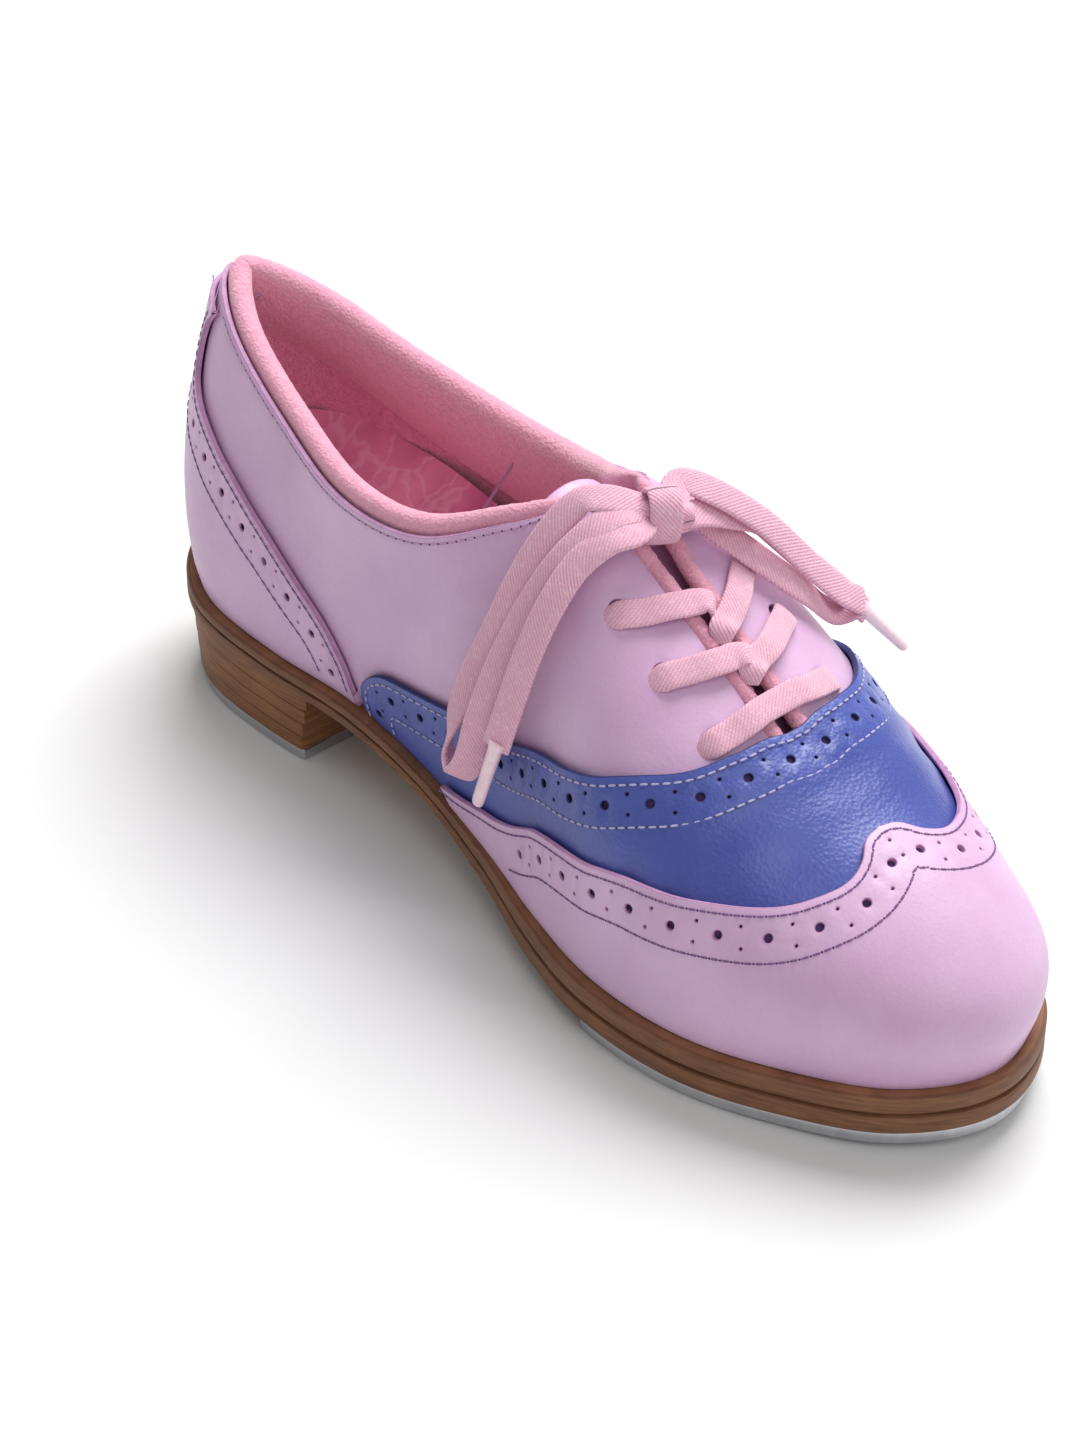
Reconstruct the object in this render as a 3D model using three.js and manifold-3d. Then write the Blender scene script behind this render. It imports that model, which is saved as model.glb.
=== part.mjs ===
// Tap shoe, left foot. Millimetres, +Z up, +X to the toe, +Y to the outer side of the foot.
// The upper is cut from leather panels that lie in layers on one curved surface, the last.
import * as THREE from 'three';
import { mergeVertices } from 'three/addons/utils/BufferGeometryUtils.js';
import Module from 'manifold-3d';

const wasm = await Module();
wasm.setup();

// ---- Driving dimensions ------------------------------------------------------------------
const LENGTH_SCALE = 1; // stretch of the whole shoe along X
const WIDTH_SCALE = 1; // stretch of the whole shoe along Y
const UPPER_RISE = 1; // height of the upper above the sole, as a share of its usual height

const HEEL_HEIGHT = 20.5; // floor to sole at the heel breast
const HEEL_WEDGE = 2.5; // how much higher the sole is at the back of the heel
const HEEL_LENGTH = 62; // heel block, back to breast
const LIFT_COUNT = 4;
const HEEL_MARGIN = 0.6; // heel block inside the sole edge

const TAP_THICKNESS = 3.2;
const TAP_MARGIN = 1; // tap inside the sole edge
const TOE_TAP_REAR = 172;
const HEEL_TAP_FRONT = 59;
const SCREW_RADIUS = 2.3;
const SCREW_RECESS = 0.6;
const SCREW_DEPTH = 2.4;

const TOE_SPRING = 2.5; // lift of the toe tip off the floor
const SOLE_LAYER_HEEL = 2.6; // thickness of one sole layer at the heel
const SOLE_LAYER_BALL = 5; // and at the ball
const SOLE_LIP = 2; // sole edge beyond the leather

const LEATHER = 1.3;
const LINING = 1.6;
const STIFFENER = 1;
const GAP = 0.3; // between pieces that touch
const PLY_GAP = 0.6 * WIDTH_SCALE; // between the curved layers of the upper
const FILLER = 1.3;
const INSOLE = 2;
const SHANK_WIDTH = 13;
const SHANK_FRONT = 148;
const SHANK_BACK = 34;
const SOCK = 1;

const COLLAR_WIDTH = 6.4;
const COLLAR_HEIGHT = 5;
const COLLAR_EDGE = 0.93; // rise at which the panels stop under the collar roll
const BINDING = 3.2; // diameter of the rolled edge of a facing
const TONGUE_HALF_WIDTH = 14.7 - LEATHER;
const TONGUE_THICKNESS = 1.8;
const TONGUE_DEPTH = 6.1 + 2 * LEATHER; // under the ridge of the last
const TONGUE_BACK = 112;
const TONGUE_FRONT = 184;

const EYELET_RADIUS = 2.4;
const LACE_WIDTH = 6.4;
const LACE_THICKNESS = 1.6;
const CORD_RADIUS = 1.6;
const AGLET_RADIUS = 2;

// ---- The last ------------------------------------------------------------------------------
// Stations from the heel (0) to the toe (12). Each gives a point of the topline or, in front,
// of the ridge: x, half-width, z; and the points of the feather line, where the upper meets
// the sole: inner side x, y, outer side x, y.
const STATIONS = [
  [4.5, 0, 101.5, 3, 0, 3, 0],
  [9.5, 7, 100.3, 8.5, -14.5, 8.5, 14.5],
  [24, 14.8, 95.2, 25, -25, 25, 25.5],
  [47, 21, 87, 50, -26.5, 50, 27.5],
  [73, 26.2, 80.9, 77, -24, 77, 27],
  [98, 25, 82.8, 103, -24, 103, 28.8],
  [118, 15.5, 92.5, 129, -28, 129, 33.8],
  [133, 4.5, 100.5, 152, -34, 152, 39],
  [150, 0, 89.3, 175, -38.3, 175, 41.5],
  [170, 0, 77, 198, -36.8, 197, 37],
  [188, 0, 65.6, 219, -29, 219.5, 29],
  [202, 0, 58, 238.5, -17.3, 239, 18],
  [209, 0, 54.6, 247.5, -0.5, 247.5, -0.5],
];
const TOE = STATIONS.length - 1;
const AROUND = 2 * TOE; // u runs 0 at the heel, along the inner side, TOE at the toe, and back
const FLAT_FLARE = 28; // how far the flat pattern spreads beyond the feather line
const RIDGE_SLOPE = -0.58;

const mix = (a, b, t) => a + (b - a) * t;
const clamp = (v, lo, hi) => Math.min(hi, Math.max(lo, v));

function smoothstep(a, b, x) {
  const t = clamp((x - a) / (b - a), 0, 1);
  return t * t * (3 - 2 * t);
}

function soleBottom(x) {
  const s = x / LENGTH_SCALE;
  const heel = HEEL_HEIGHT + HEEL_WEDGE * clamp(1 - s / HEEL_LENGTH, 0, 1);
  const ball = TAP_THICKNESS + GAP;
  const spring = TOE_SPRING * clamp((s - 195) / 56, 0, 1.3) ** 2;
  return mix(heel, ball, smoothstep(60, 165, s)) + spring;
}

const layerThickness = (x) =>
  mix(SOLE_LAYER_HEEL, SOLE_LAYER_BALL, smoothstep(95, 160, x / LENGTH_SCALE));
const featherHeight = (x) => soleBottom(x) + 2 * layerThickness(x) + 2 * GAP;

function lastCurve(pick) {
  const points = [];
  for (let k = 0; k < AROUND; k += 1) {
    const inner = k <= TOE;
    points.push(pick(STATIONS[inner ? k : AROUND - k], inner ? -1 : 1));
  }
  return new THREE.CatmullRomCurve3(points, true, 'catmullrom', 0.5);
}

const featherCurve = lastCurve(([, , , ix, iy, ox, oy], side) =>
  side < 0
    ? new THREE.Vector3(ix * LENGTH_SCALE, iy * WIDTH_SCALE, 0)
    : new THREE.Vector3(ox * LENGTH_SCALE, oy * WIDTH_SCALE, 0));
const toplineCurve = lastCurve(([x, w, z], side) =>
  new THREE.Vector3(x * LENGTH_SCALE, side * w * WIDTH_SCALE, z));

const wrap = (u) => ((u % AROUND) + AROUND) % AROUND;
const stationOf = (u) => Math.min(wrap(u), AROUND - wrap(u));
const feather = (u) => featherCurve.getPoint(wrap(u) / AROUND);

function topline(u) {
  const p = toplineCurve.getPoint(wrap(u) / AROUND);
  const side = wrap(u) <= TOE ? -1 : 1;
  p.y = side * Math.max(0, side * p.y);
  const base = featherHeight(p.x);
  p.z = base + (p.z - base) * UPPER_RISE;
  return p;
}

function outward(u) {
  const along = feather(u + 0.01).sub(feather(u - 0.01));
  return new THREE.Vector3(along.y, -along.x, 0).normalize();
}

// Point of the outer face of the quarters: u round the shoe, rise 0 at the feather, 1 on top.
function last(u, rise) {
  const f = clamp(rise, 0, 1);
  const station = stationOf(u);
  const front = smoothstep(4.5, 8, station);
  const power = 2 / (2.35 + 1.15 * smoothstep(8.5, 12, station));
  const angle = (f * Math.PI) / 2;
  const inward = mix(f, 1 - Math.max(0, Math.cos(angle)) ** power, front);
  const height = mix(f, Math.sin(angle) ** power, front);
  const swell = 2.6 + 3.4 * (1 - smoothstep(0, 3, station)) + 1.9 * smoothstep(9, 12, station);
  const low = feather(u);
  const high = topline(u);
  const base = featherHeight(low.x);
  const slope = front * mix(RIDGE_SLOPE, -0.42, smoothstep(10, 12, station)) * UPPER_RISE;
  const p = new THREE.Vector3(mix(low.x, high.x, inward), mix(low.y, high.y, inward), 0);
  p.z = base + (high.z + (slope * (p.x - high.x)) / LENGTH_SCALE - base) * height;
  return p.addScaledVector(outward(u), swell * Math.sin(Math.PI * f ** 0.75));
}

function lastNormal(u, rise) {
  const f = clamp(rise, 0, 0.985);
  const across = last(u + 0.01, f).sub(last(u - 0.01, f));
  const up = last(u, rise + 0.004).sub(last(u, rise - 0.004));
  return across.cross(up).normalize();
}

// A point of a layer of the upper. At the feather the layers stand side by side on the sole.
function skin(u, rise, offset) {
  const normal = lastNormal(u, rise);
  normal.z *= smoothstep(0, 0.1, rise);
  return last(u, rise).addScaledVector(normal.normalize(), offset);
}

// ---- Flat pattern ----------------------------------------------------------------------------
// Panels are drawn on a flat pattern, the plan of the last with its walls folded outward.
const flatFeather = (u) => feather(u).addScaledVector(outward(u), FLAT_FLARE).setZ(0);
const flat = (u, rise) => flatFeather(u).lerp(topline(u).setZ(0), rise);

const MERIDIANS = 288;
const meridians = [];
for (let i = 0; i < MERIDIANS; i += 1) {
  const u = (i * AROUND) / MERIDIANS;
  meridians.push({ u, low: flatFeather(u), high: topline(u).setZ(0) });
}

function sideOf(low, high, p) {
  return (high.x - low.x) * (p.y - low.y) - (high.y - low.y) * (p.x - low.x);
}

// Finds u and rise of a point of the flat pattern.
function locate(p) {
  let best = { u: 0, rise: 0, miss: Infinity };
  meridians.forEach((a, i) => {
    const b = meridians[(i + 1) % MERIDIANS];
    const da = sideOf(a.low, a.high, p);
    const db = sideOf(b.low, b.high, p);
    if (da * db > 0) return;
    const t = da === db ? 0 : da / (da - db);
    const low = a.low.clone().lerp(b.low, t);
    const run = a.high.clone().lerp(b.high, t).sub(low);
    const rise = p.clone().sub(low).dot(run) / run.lengthSq();
    const miss = Math.max(0, -rise, rise - 1);
    if (miss < best.miss) best = { u: a.u + (t * AROUND) / MERIDIANS, rise, miss };
  });
  return best;
}

// ---- Mesh building ---------------------------------------------------------------------------
// A closed solid from rows of points: one face, the opposite face, and the rim between them.
// With loop set, the last column joins the first.
function shell(face, back, loop = false) {
  const rows = face.length;
  const columns = face[0].length;
  const positions = [];
  [face, back].forEach((layer) => layer.forEach((row) => row.forEach((p) => positions.push(...p))));
  const at = (layer, r, c) => layer * rows * columns + r * columns + (c % columns);
  const index = [];
  const quad = (a, b, c, d) => index.push(a, b, c, a, c, d);
  const spans = loop ? columns : columns - 1;
  for (let c = 0; c < spans; c += 1) {
    for (let r = 0; r < rows - 1; r += 1) {
      quad(at(0, r, c), at(0, r, c + 1), at(0, r + 1, c + 1), at(0, r + 1, c));
      quad(at(1, r, c), at(1, r + 1, c), at(1, r + 1, c + 1), at(1, r, c + 1));
    }
    quad(at(0, 0, c), at(1, 0, c), at(1, 0, c + 1), at(0, 0, c + 1));
    const top = rows - 1;
    quad(at(0, top, c), at(0, top, c + 1), at(1, top, c + 1), at(1, top, c));
  }
  if (!loop) {
    const end = columns - 1;
    for (let r = 0; r < rows - 1; r += 1) {
      quad(at(0, r, 0), at(0, r + 1, 0), at(1, r + 1, 0), at(1, r, 0));
      quad(at(0, r, end), at(1, r, end), at(1, r + 1, end), at(0, r + 1, end));
    }
  }
  return closed(positions, index);
}

// A closed solid from rings of points, with a flat fan on each end, or joined end to end.
function rings(loops, endless = false) {
  const n = loops[0].length;
  const positions = [];
  loops.forEach((ring) => ring.forEach((p) => positions.push(...p)));
  const index = [];
  const count = endless ? loops.length : loops.length - 1;
  for (let i = 0; i < count; i += 1) {
    const j = (i + 1) % loops.length;
    for (let k = 0; k < n; k += 1) {
      const m = (k + 1) % n;
      index.push(i * n + k, j * n + k, j * n + m, i * n + k, j * n + m, i * n + m);
    }
  }
  if (!endless) {
    const first = (loops.length - 1) * n;
    for (let k = 1; k < n - 1; k += 1) {
      index.push(0, k, k + 1, first, first + k + 1, first + k);
    }
  }
  return closed(positions, index);
}

// Turns the faces outward whichever way the points were listed.
function closed(positions, index) {
  let volume = 0;
  const p = (i) => new THREE.Vector3().fromArray(positions, 3 * i);
  for (let i = 0; i < index.length; i += 3) {
    volume += p(index[i]).dot(p(index[i + 1]).cross(p(index[i + 2])));
  }
  if (volume < 0) index.reverse();
  const geometry = new THREE.BufferGeometry();
  geometry.setAttribute('position', new THREE.Float32BufferAttribute(positions, 3));
  geometry.setIndex(index);
  geometry.computeVertexNormals();
  return geometry;
}

// Samples an open polyline of flat-pattern points evenly, through a smooth curve.
function evenly(points, count) {
  const curve = new THREE.CatmullRomCurve3(points, false, 'centripetal');
  return curve.getSpacedPoints(count - 1);
}

const flatList = (list, side) =>
  list.map(([station, rise]) => flat(side < 0 ? station : AROUND - station, rise));

// A leather panel between two boundary lines of the flat pattern with equal point counts.
function panel(lower, upper, inner, outer, rowCount) {
  const face = [];
  const back = [];
  for (let r = 0; r < rowCount; r += 1) {
    const spots = lower.map((p, i) => locate(p.clone().lerp(upper[i], r / (rowCount - 1))));
    face.push(spots.map(({ u, rise }) => skin(u, rise, outer)));
    back.push(spots.map(({ u, rise }) => skin(u, rise, inner)));
  }
  return { face, back };
}

const panelSolid = (...args) => {
  const { face, back } = panel(...args);
  return shell(face, back);
};

// ---- Round holes ------------------------------------------------------------------------------
function solidOf(geometry) {
  const bare = geometry.clone();
  bare.deleteAttribute('normal');
  bare.deleteAttribute('uv');
  const merged = mergeVertices(bare, 1e-4);
  return new wasm.Manifold(new wasm.Mesh({
    numProp: 3,
    vertProperties: merged.attributes.position.array,
    triVerts: new Uint32Array(merged.index.array),
  }));
}
function geometryOf(solid) {
  const mesh = solid.getMesh();
  const geometry = new THREE.BufferGeometry();
  geometry.setAttribute('position', new THREE.BufferAttribute(mesh.vertProperties, 3));
  geometry.setIndex(new THREE.BufferAttribute(mesh.triVerts, 1));
  geometry.computeVertexNormals();
  return geometry;
}
function pierced(geometry, places, radius, direction) {
  let solid = solidOf(geometry);
  places.forEach((place, i) => {
    const punch = new THREE.CylinderGeometry(radius, radius, 16, 12);
    const turn = new THREE.Quaternion()
      .setFromUnitVectors(new THREE.Vector3(0, 1, 0), direction(i));
    punch.applyQuaternion(turn).translate(place.x, place.y, place.z);
    solid = solid.subtract(solidOf(punch));
  });
  return geometryOf(solid);
}

// ---- Colours ---------------------------------------------------------------------------------
const finish = (color, roughness, metalness = 0) =>
  new THREE.MeshStandardMaterial({ color, roughness, metalness });
const LILAC = finish(0xdebcde, 0.5);
const BLUE = finish(0x505faf, 0.35);
const PINK_TERRY = finish(0xe6a5b9, 0.95);
const MARBLED = finish(0xc3648c, 0.8);
const LACE_PINK = finish(0xf0b9c8, 0.9);
const SOLE_BROWN = finish(0x8c5f3c, 0.5);
const BOARD = finish(0xb49678, 0.9);
const FOAM = finish(0xe8dcc8, 0.9);
const STEEL = finish(0xc8c8cc, 0.3, 1);
const PLASTIC = finish(0xf5d2dc, 0.4);

const shoe = new THREE.Group();

function add(name, geometry, material) {
  const mesh = new THREE.Mesh(geometry, material);
  mesh.name = name;
  shoe.add(mesh);
  return mesh;
}

// ---- Layers of the upper, measured from the outer face of the quarters -------------------------
const QUARTER = [-LEATHER, 0];
const OVERLAY = [PLY_GAP, PLY_GAP + LEATHER];
const CAP = [2 * PLY_GAP + LEATHER, 2 * PLY_GAP + 2 * LEATHER];
const STIFFENING = [-LEATHER - 1.5 * PLY_GAP - STIFFENER, -LEATHER - 1.5 * PLY_GAP];
const LINED = [STIFFENING[0] - 2.3 * PLY_GAP - LINING, STIFFENING[0] - 2.3 * PLY_GAP];

// Boundaries as station and rise, the same on both sides.
const FACING_RISE = 0.943;
const FACING_EDGE = [7.25, 7.9, 8.6, 9.3, 9.95].map((station) => [station, FACING_RISE]);
const TOPLINE_EDGE = [1, 2, 3, 4, 5, 6, 6.6].map((station) => [station, COLLAR_EDGE]);
const VAMP_EDGE = [
  [4.15, 0.03], [4.2, 0.18], [4.6, 0.32], [5.6, 0.33], [6.6, 0.31], [7.3, 0.35],
  [7.8, 0.43], [8.3, 0.54], [8.8, 0.66], [9.25, 0.81], [9.6, 0.93], [9.97, 1],
];
const CAP_EDGE = [
  [5.3, 0.05], [5.9, 0.09], [6.8, 0.15], [7.8, 0.24], [8.4, 0.315], [8.95, 0.375],
  [9.45, 0.45], [9.9, 0.54], [10.35, 0.67], [10.7, 0.78], [10.96, 0.873], [11.15, 0.94],
];
const PEAK = [12, 0.992];
const VAMP_FRONT = [
  [5.6, 0], [6.5, 0.05], [7.6, 0.13], [8.8, 0.24], [9.6, 0.35], [10.3, 0.5],
  [10.9, 0.68], [11.5, 0.83], [12, 0.86],
];
const QUARTER_FRONT = [
  [5.4, 0], [6.2, 0.12], [7, 0.19], [7.7, 0.29], [8.3, 0.4], [8.9, 0.53], [9.4, 0.68],
  [9.9, 0.85], [10.05, FACING_RISE],
];
const COUNTER_EDGE = [
  [0, 4.02], [0.09, 4.0], [0.2, 3.95], [0.33, 3.75], [0.43, 3.4], [0.51, 2.95],
  [0.56, 2.55], [0.605, 2.1], [0.635, 1.6], [0.67, 1.2], [0.74, 1.04], [0.83, 1.1], [0.91, 1.35],
]; // rise, station

// Eyelets of one facing as station and rise, front to back; both facings are alike.
const EYELETS = [[8.95, 0.78], [8.28, 0.79], [7.62, 0.79], [7.02, 0.81]];

const featherRun = (from, to, count) =>
  Array.from({ length: count }, (_, i) => flat(mix(from, to, i / (count - 1)), 0));

function quarterSolid(side) {
  const columns = 34;
  const u = (station) => (side < 0 ? station : AROUND - station);
  const back = 0.05;
  const low = [...featherRun(u(back), u(QUARTER_FRONT[0][0]), 8),
    ...flatList(QUARTER_FRONT.slice(1), side)];
  const high = flatList([[back, COLLAR_EDGE], ...TOPLINE_EDGE, ...FACING_EDGE], side);
  const leather = panelSolid(evenly(low, columns), evenly(high, columns), ...QUARTER, 7);
  const spots = EYELETS.map(([station, rise]) => [u(station), rise]);
  return pierced(leather, spots.map((spot) => last(...spot)), EYELET_RADIUS,
    (i) => lastNormal(...spots[i]));
}

function mirroredEvenly(list, middle, half) {
  const inner = evenly([...flatList(list, -1), middle], half);
  const outer = evenly([...flatList(list, 1), middle], half).reverse();
  return [...inner, ...outer.slice(1)];
}

add('quarter_medial', quarterSolid(-1), LILAC);
add('quarter_lateral', quarterSolid(1), LILAC);

const vampTop = mirroredEvenly(VAMP_EDGE.slice(0, -1), flat(...VAMP_EDGE.at(-1)), 27);
const vampLow = mirroredEvenly(
  [[4.3, 0], [4.9, 0], ...VAMP_FRONT.slice(0, -1)], flat(...VAMP_FRONT.at(-1)), 27);
add('vamp', panelSolid(vampLow, vampTop, ...OVERLAY, 6), BLUE);

const capTop = mirroredEvenly(CAP_EDGE, flat(...PEAK), 23);
const capLow = featherRun(CAP_EDGE[0][0] + 0.1, AROUND - CAP_EDGE[0][0] - 0.1, capTop.length);
add('toe_cap', panelSolid(capLow, capTop, ...CAP, 7), LILAC);

// Stiffener inside the toe cap.
const PUFF_EDGE = [[9.2, 0.04], [9.5, 0.22], [10, 0.45], [10.6, 0.68], [11.2, 0.86]];
const puffTop = mirroredEvenly(PUFF_EDGE, flat(12, 0.9), 13);
const puffLow = featherRun(PUFF_EDGE[0][0] + 0.1, AROUND - PUFF_EDGE[0][0] - 0.1, puffTop.length);
add('toe_puff', panelSolid(puffLow, puffTop, ...STIFFENING, 5), BOARD);

// Runs -1..1, with the steps closer together in the middle, where the heel is tightly curved.
function crowded(t) {
  const v = 2 * t - 1;
  return v * (0.45 + 0.55 * Math.abs(v));
}

// Heel counter, outside the quarters, and the stiffener between quarters and lining.
function aroundHeel(edge, columns, layers) {
  const rows = edge.map(([rise, station]) =>
    Array.from({ length: columns }, (_, i) => [station * crowded(i / (columns - 1)), rise]));
  const [inner, outer] = layers;
  const place = (offset) => rows.map((row) => row.map(([u, rise]) => skin(u, rise, offset)));
  return shell(place(outer), place(inner));
}
add('heel_counter', aroundHeel(COUNTER_EDGE, 23, OVERLAY), LILAC);
const STIFFENER_EDGE = [[0, 3.9], [0.09, 3.8], [0.2, 3.7], [0.36, 3.2], [0.5, 2.5], [0.6, 1.6]];
add('heel_stiffener', aroundHeel(STIFFENER_EDGE, 19, STIFFENING), BOARD);

// Terry lining: one ring of cloth from the feather up to the topline and the facing slot.
function liningSolid() {
  const columns = 56;
  const slot = FACING_EDGE.at(-1);
  const stations = Array.from({ length: columns }, (_, i) => (i * AROUND) / columns);
  const upper = stations.map((u) => {
    const station = stationOf(u);
    if (station > slot[0]) {
      const across = (u - slot[0]) / (AROUND - 2 * slot[0]);
      return flat(slot[0], slot[1]).lerp(flat(AROUND - slot[0], slot[1]), across);
    }
    if (station < 6.6) return flat(u, COLLAR_EDGE);
    const rise = station < 7.25 ? mix(COLLAR_EDGE, FACING_RISE, (station - 6.6) / 0.65) : FACING_RISE;
    return flat(u, rise);
  });
  const lower = stations.map((u) => flat(u, 0));
  const { face, back } = panel(lower, upper, ...LINED, 7);
  return shell(face, back, true);
}
add('lining', liningSolid(), PINK_TERRY);

// Padded roll along the topline, from one facing corner round the heel to the other.
function rollSection(centre, sideways, upward, width, height, sides) {
  return Array.from({ length: sides }, (_, k) => {
    const a = (k * 2 * Math.PI) / sides;
    return centre.clone()
      .addScaledVector(sideways, (Math.cos(a) * width) / 2)
      .addScaledVector(upward, (Math.sin(a) * height) / 2);
  });
}

function collarRoll() {
  const steps = 44;
  const reach = 6.55;
  const middle = (LINED[0] + QUARTER[1]) / 2;
  const loops = [];
  for (let i = 0; i <= steps; i += 1) {
    const u = reach * crowded(i / steps);
    const edge = skin(u, COLLAR_EDGE, middle);
    const upward = skin(u, 1, middle).sub(skin(u, 0.9, middle)).normalize();
    const centre = edge.addScaledVector(upward, COLLAR_HEIGHT / 2 + 1.5 * GAP + PLY_GAP);
    loops.push(rollSection(centre, lastNormal(u, 0.97), upward, COLLAR_WIDTH, COLLAR_HEIGHT, 8));
  }
  return rings(loops);
}
add('collar_roll', collarRoll(), PINK_TERRY);

// Rolled edges of the facings, beside the slot.
function bindingSolid(side) {
  const steps = 14;
  const loops = [];
  for (let i = 0; i <= steps; i += 1) {
    const station = mix(7.35, 9.45, i / steps);
    const u = side < 0 ? station : AROUND - station;
    const edge = skin(u, FACING_RISE, -LEATHER / 2);
    const inward = new THREE.Vector3(0, -side, 0);
    const normal = lastNormal(u, 0.95);
    inward.addScaledVector(normal, -inward.dot(normal)).normalize();
    const centre = edge.addScaledVector(inward, BINDING / 2 + GAP);
    loops.push(rollSection(centre, inward, normal, BINDING, BINDING, 8));
  }
  return rings(loops);
}
add('facing_binding_medial', bindingSolid(-1), PINK_TERRY);
add('facing_binding_lateral', bindingSolid(1), PINK_TERRY);

// Tongue: a curved leather flap under the facings.
const ridge = (x) => {
  const s = x / LENGTH_SCALE;
  return featherHeight(x) + (mix(65.6, 100.6, (188 - s) / 57) - featherHeight(x)) * UPPER_RISE;
};
function tongueSolid() {
  const rows = 12;
  const columns = 9;
  const sheet = (drop) => Array.from({ length: rows }, (_, i) =>
    Array.from({ length: columns }, (_column, j) => {
      const s = mix(TONGUE_BACK, TONGUE_FRONT, i / (rows - 1));
      const half = TONGUE_HALF_WIDTH * mix(0.62, mix(1, 0.72, smoothstep(150, 184, s)),
        smoothstep(TONGUE_BACK, 146, s));
      const across = mix(-1, 1, j / (columns - 1)) * half;
      const curve = mix(15, 68, smoothstep(124, 152, s));
      const depth = TONGUE_DEPTH + 7 * Math.max(0, (140 - s) / 28) ** 1.5 + drop;
      const x = s * LENGTH_SCALE;
      const z = ridge(x) - depth - (across * across) / curve;
      return new THREE.Vector3(x, across * WIDTH_SCALE, z);
    }));
  return shell(sheet(0), sheet(TONGUE_THICKNESS));
}
add('tongue', tongueSolid(), LILAC);

// ---- Bottom ----------------------------------------------------------------------------------
// The feather line moved out by a margin. The sole edge clears the panels that reach it.
const outline = (margin) => (u) => feather(u).addScaledVector(outward(u), margin(u));
const soleEdge = (lip) => (u) =>
  lip + OVERLAY[1] + (CAP[1] - OVERLAY[1]) * smoothstep(5, 8, stationOf(u));

// Where that line crosses a given x on one side.
function edgeAt(line, x, side) {
  let low = 0;
  let high = TOE;
  for (let i = 0; i < 30; i += 1) {
    const middle = (low + high) / 2;
    if (line(side < 0 ? middle : AROUND - middle).x < x) low = middle;
    else high = middle;
  }
  return line(side < 0 ? low : AROUND - low).y;
}

// A plate between two height functions, inside a margin of the sole edge, from x0 to x1.
function plate(margin, x0, x1, bottom, top, stations = 26, across = 4) {
  const line = outline(margin);
  const backX = line(0).x;
  const frontX = line(TOE).x;
  const start = Math.max(x0 * LENGTH_SCALE, backX + 0.12);
  const stop = Math.min(x1 * LENGTH_SCALE, frontX - 0.12);
  const sheet = (height) => Array.from({ length: stations }, (_, i) => {
    const t = (1 - Math.cos((Math.PI * i) / (stations - 1))) / 2;
    const x = mix(start, stop, t);
    const inner = edgeAt(line, x, -1);
    const outer = edgeAt(line, x, 1);
    return Array.from({ length: across + 1 }, (_column, j) => {
      const y = mix(inner, outer, j / across);
      return new THREE.Vector3(x, y, height(x, y, (2 * j) / across - 1));
    });
  });
  return shell(sheet(top), sheet(bottom));
}

const ALL = [-50, 400];
const outsoleTop = (x) => soleBottom(x) + layerThickness(x);
add('outsole', plate(soleEdge(SOLE_LIP), ...ALL, soleBottom, outsoleTop), SOLE_BROWN);
const midBottom = (x) => outsoleTop(x) + GAP;
const midTop = (x) => featherHeight(x) - 2 * GAP;
add('midsole', plate(soleEdge(SOLE_LIP), ...ALL, midBottom, midTop), SOLE_BROWN);

// Inside the lining: filler and shank, insole board, padded footbed, sock liner.
const inside = () => LINED[0] - 0.8;
const cupped = () => LINED[0] - 2.6 * WIDTH_SCALE ** 3;
const fillerTop = (x) => featherHeight(x) + FILLER;
add('cork_filler',
  plate(inside, SHANK_FRONT + 4, 400, featherHeight, fillerTop, 16, 2), BOARD);
const boardBottom = (x) => fillerTop(x) + GAP;
const boardTop = (x) => boardBottom(x) + INSOLE;
add('insole_board', plate(inside, ...ALL, boardBottom, boardTop, 24, 2), BOARD);

function shankSolid() {
  const steps = 12;
  const loops = [];
  for (let i = 0; i <= steps; i += 1) {
    const x = mix(SHANK_BACK, SHANK_FRONT, i / steps) * LENGTH_SCALE;
    const low = featherHeight(x);
    const half = SHANK_WIDTH / 2;
    loops.push([[-half, 0], [half, 0], [half, FILLER], [-half, FILLER]]
      .map(([y, z]) => new THREE.Vector3(x, y + 1, low + z)));
  }
  return rings(loops);
}
add('shank', shankSolid(), STEEL);

const footbedBottom = (x) => boardTop(x) + GAP;
function footbedTop(x, y, side) {
  const s = x / LENGTH_SCALE;
  const middle = mix(48.5, 22.5, smoothstep(55, 185, s)) + (s > 195 ? 0.05 * (s - 195) : 0);
  const cup = mix(11, 1.5, smoothstep(70, 175, s));
  return middle + cup * side * side;
}
const sockBottom = (x, y, side) => footbedTop(x, y, side) + GAP;
const sockTop = (x, y, side) => sockBottom(x, y, side) + SOCK;
add('footbed', plate(cupped, ...ALL, footbedBottom, footbedTop, 20, 4), FOAM);
add('sock_liner', plate(cupped, ...ALL, sockBottom, sockTop, 20, 4), MARBLED);

// Stacked heel, tap plates and their screws.
const heelTop = (x) => soleBottom(x) - GAP;
const liftLevel = (k) => (x) =>
  mix(TAP_THICKNESS + GAP, heelTop(x) + GAP, k / LIFT_COUNT);
for (let k = 0; k < LIFT_COUNT; k += 1) {
  const margin = soleEdge(SOLE_LIP - HEEL_MARGIN - 0.35 * (LIFT_COUNT - 1 - k));
  const front = HEEL_LENGTH - 0.8 * (LIFT_COUNT - 1 - k);
  add(`heel_lift_${k + 1}`,
    plate(margin, -50, front, liftLevel(k), (x) => liftLevel(k + 1)(x) - GAP, 14, 2), SOLE_BROWN);
}

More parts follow.
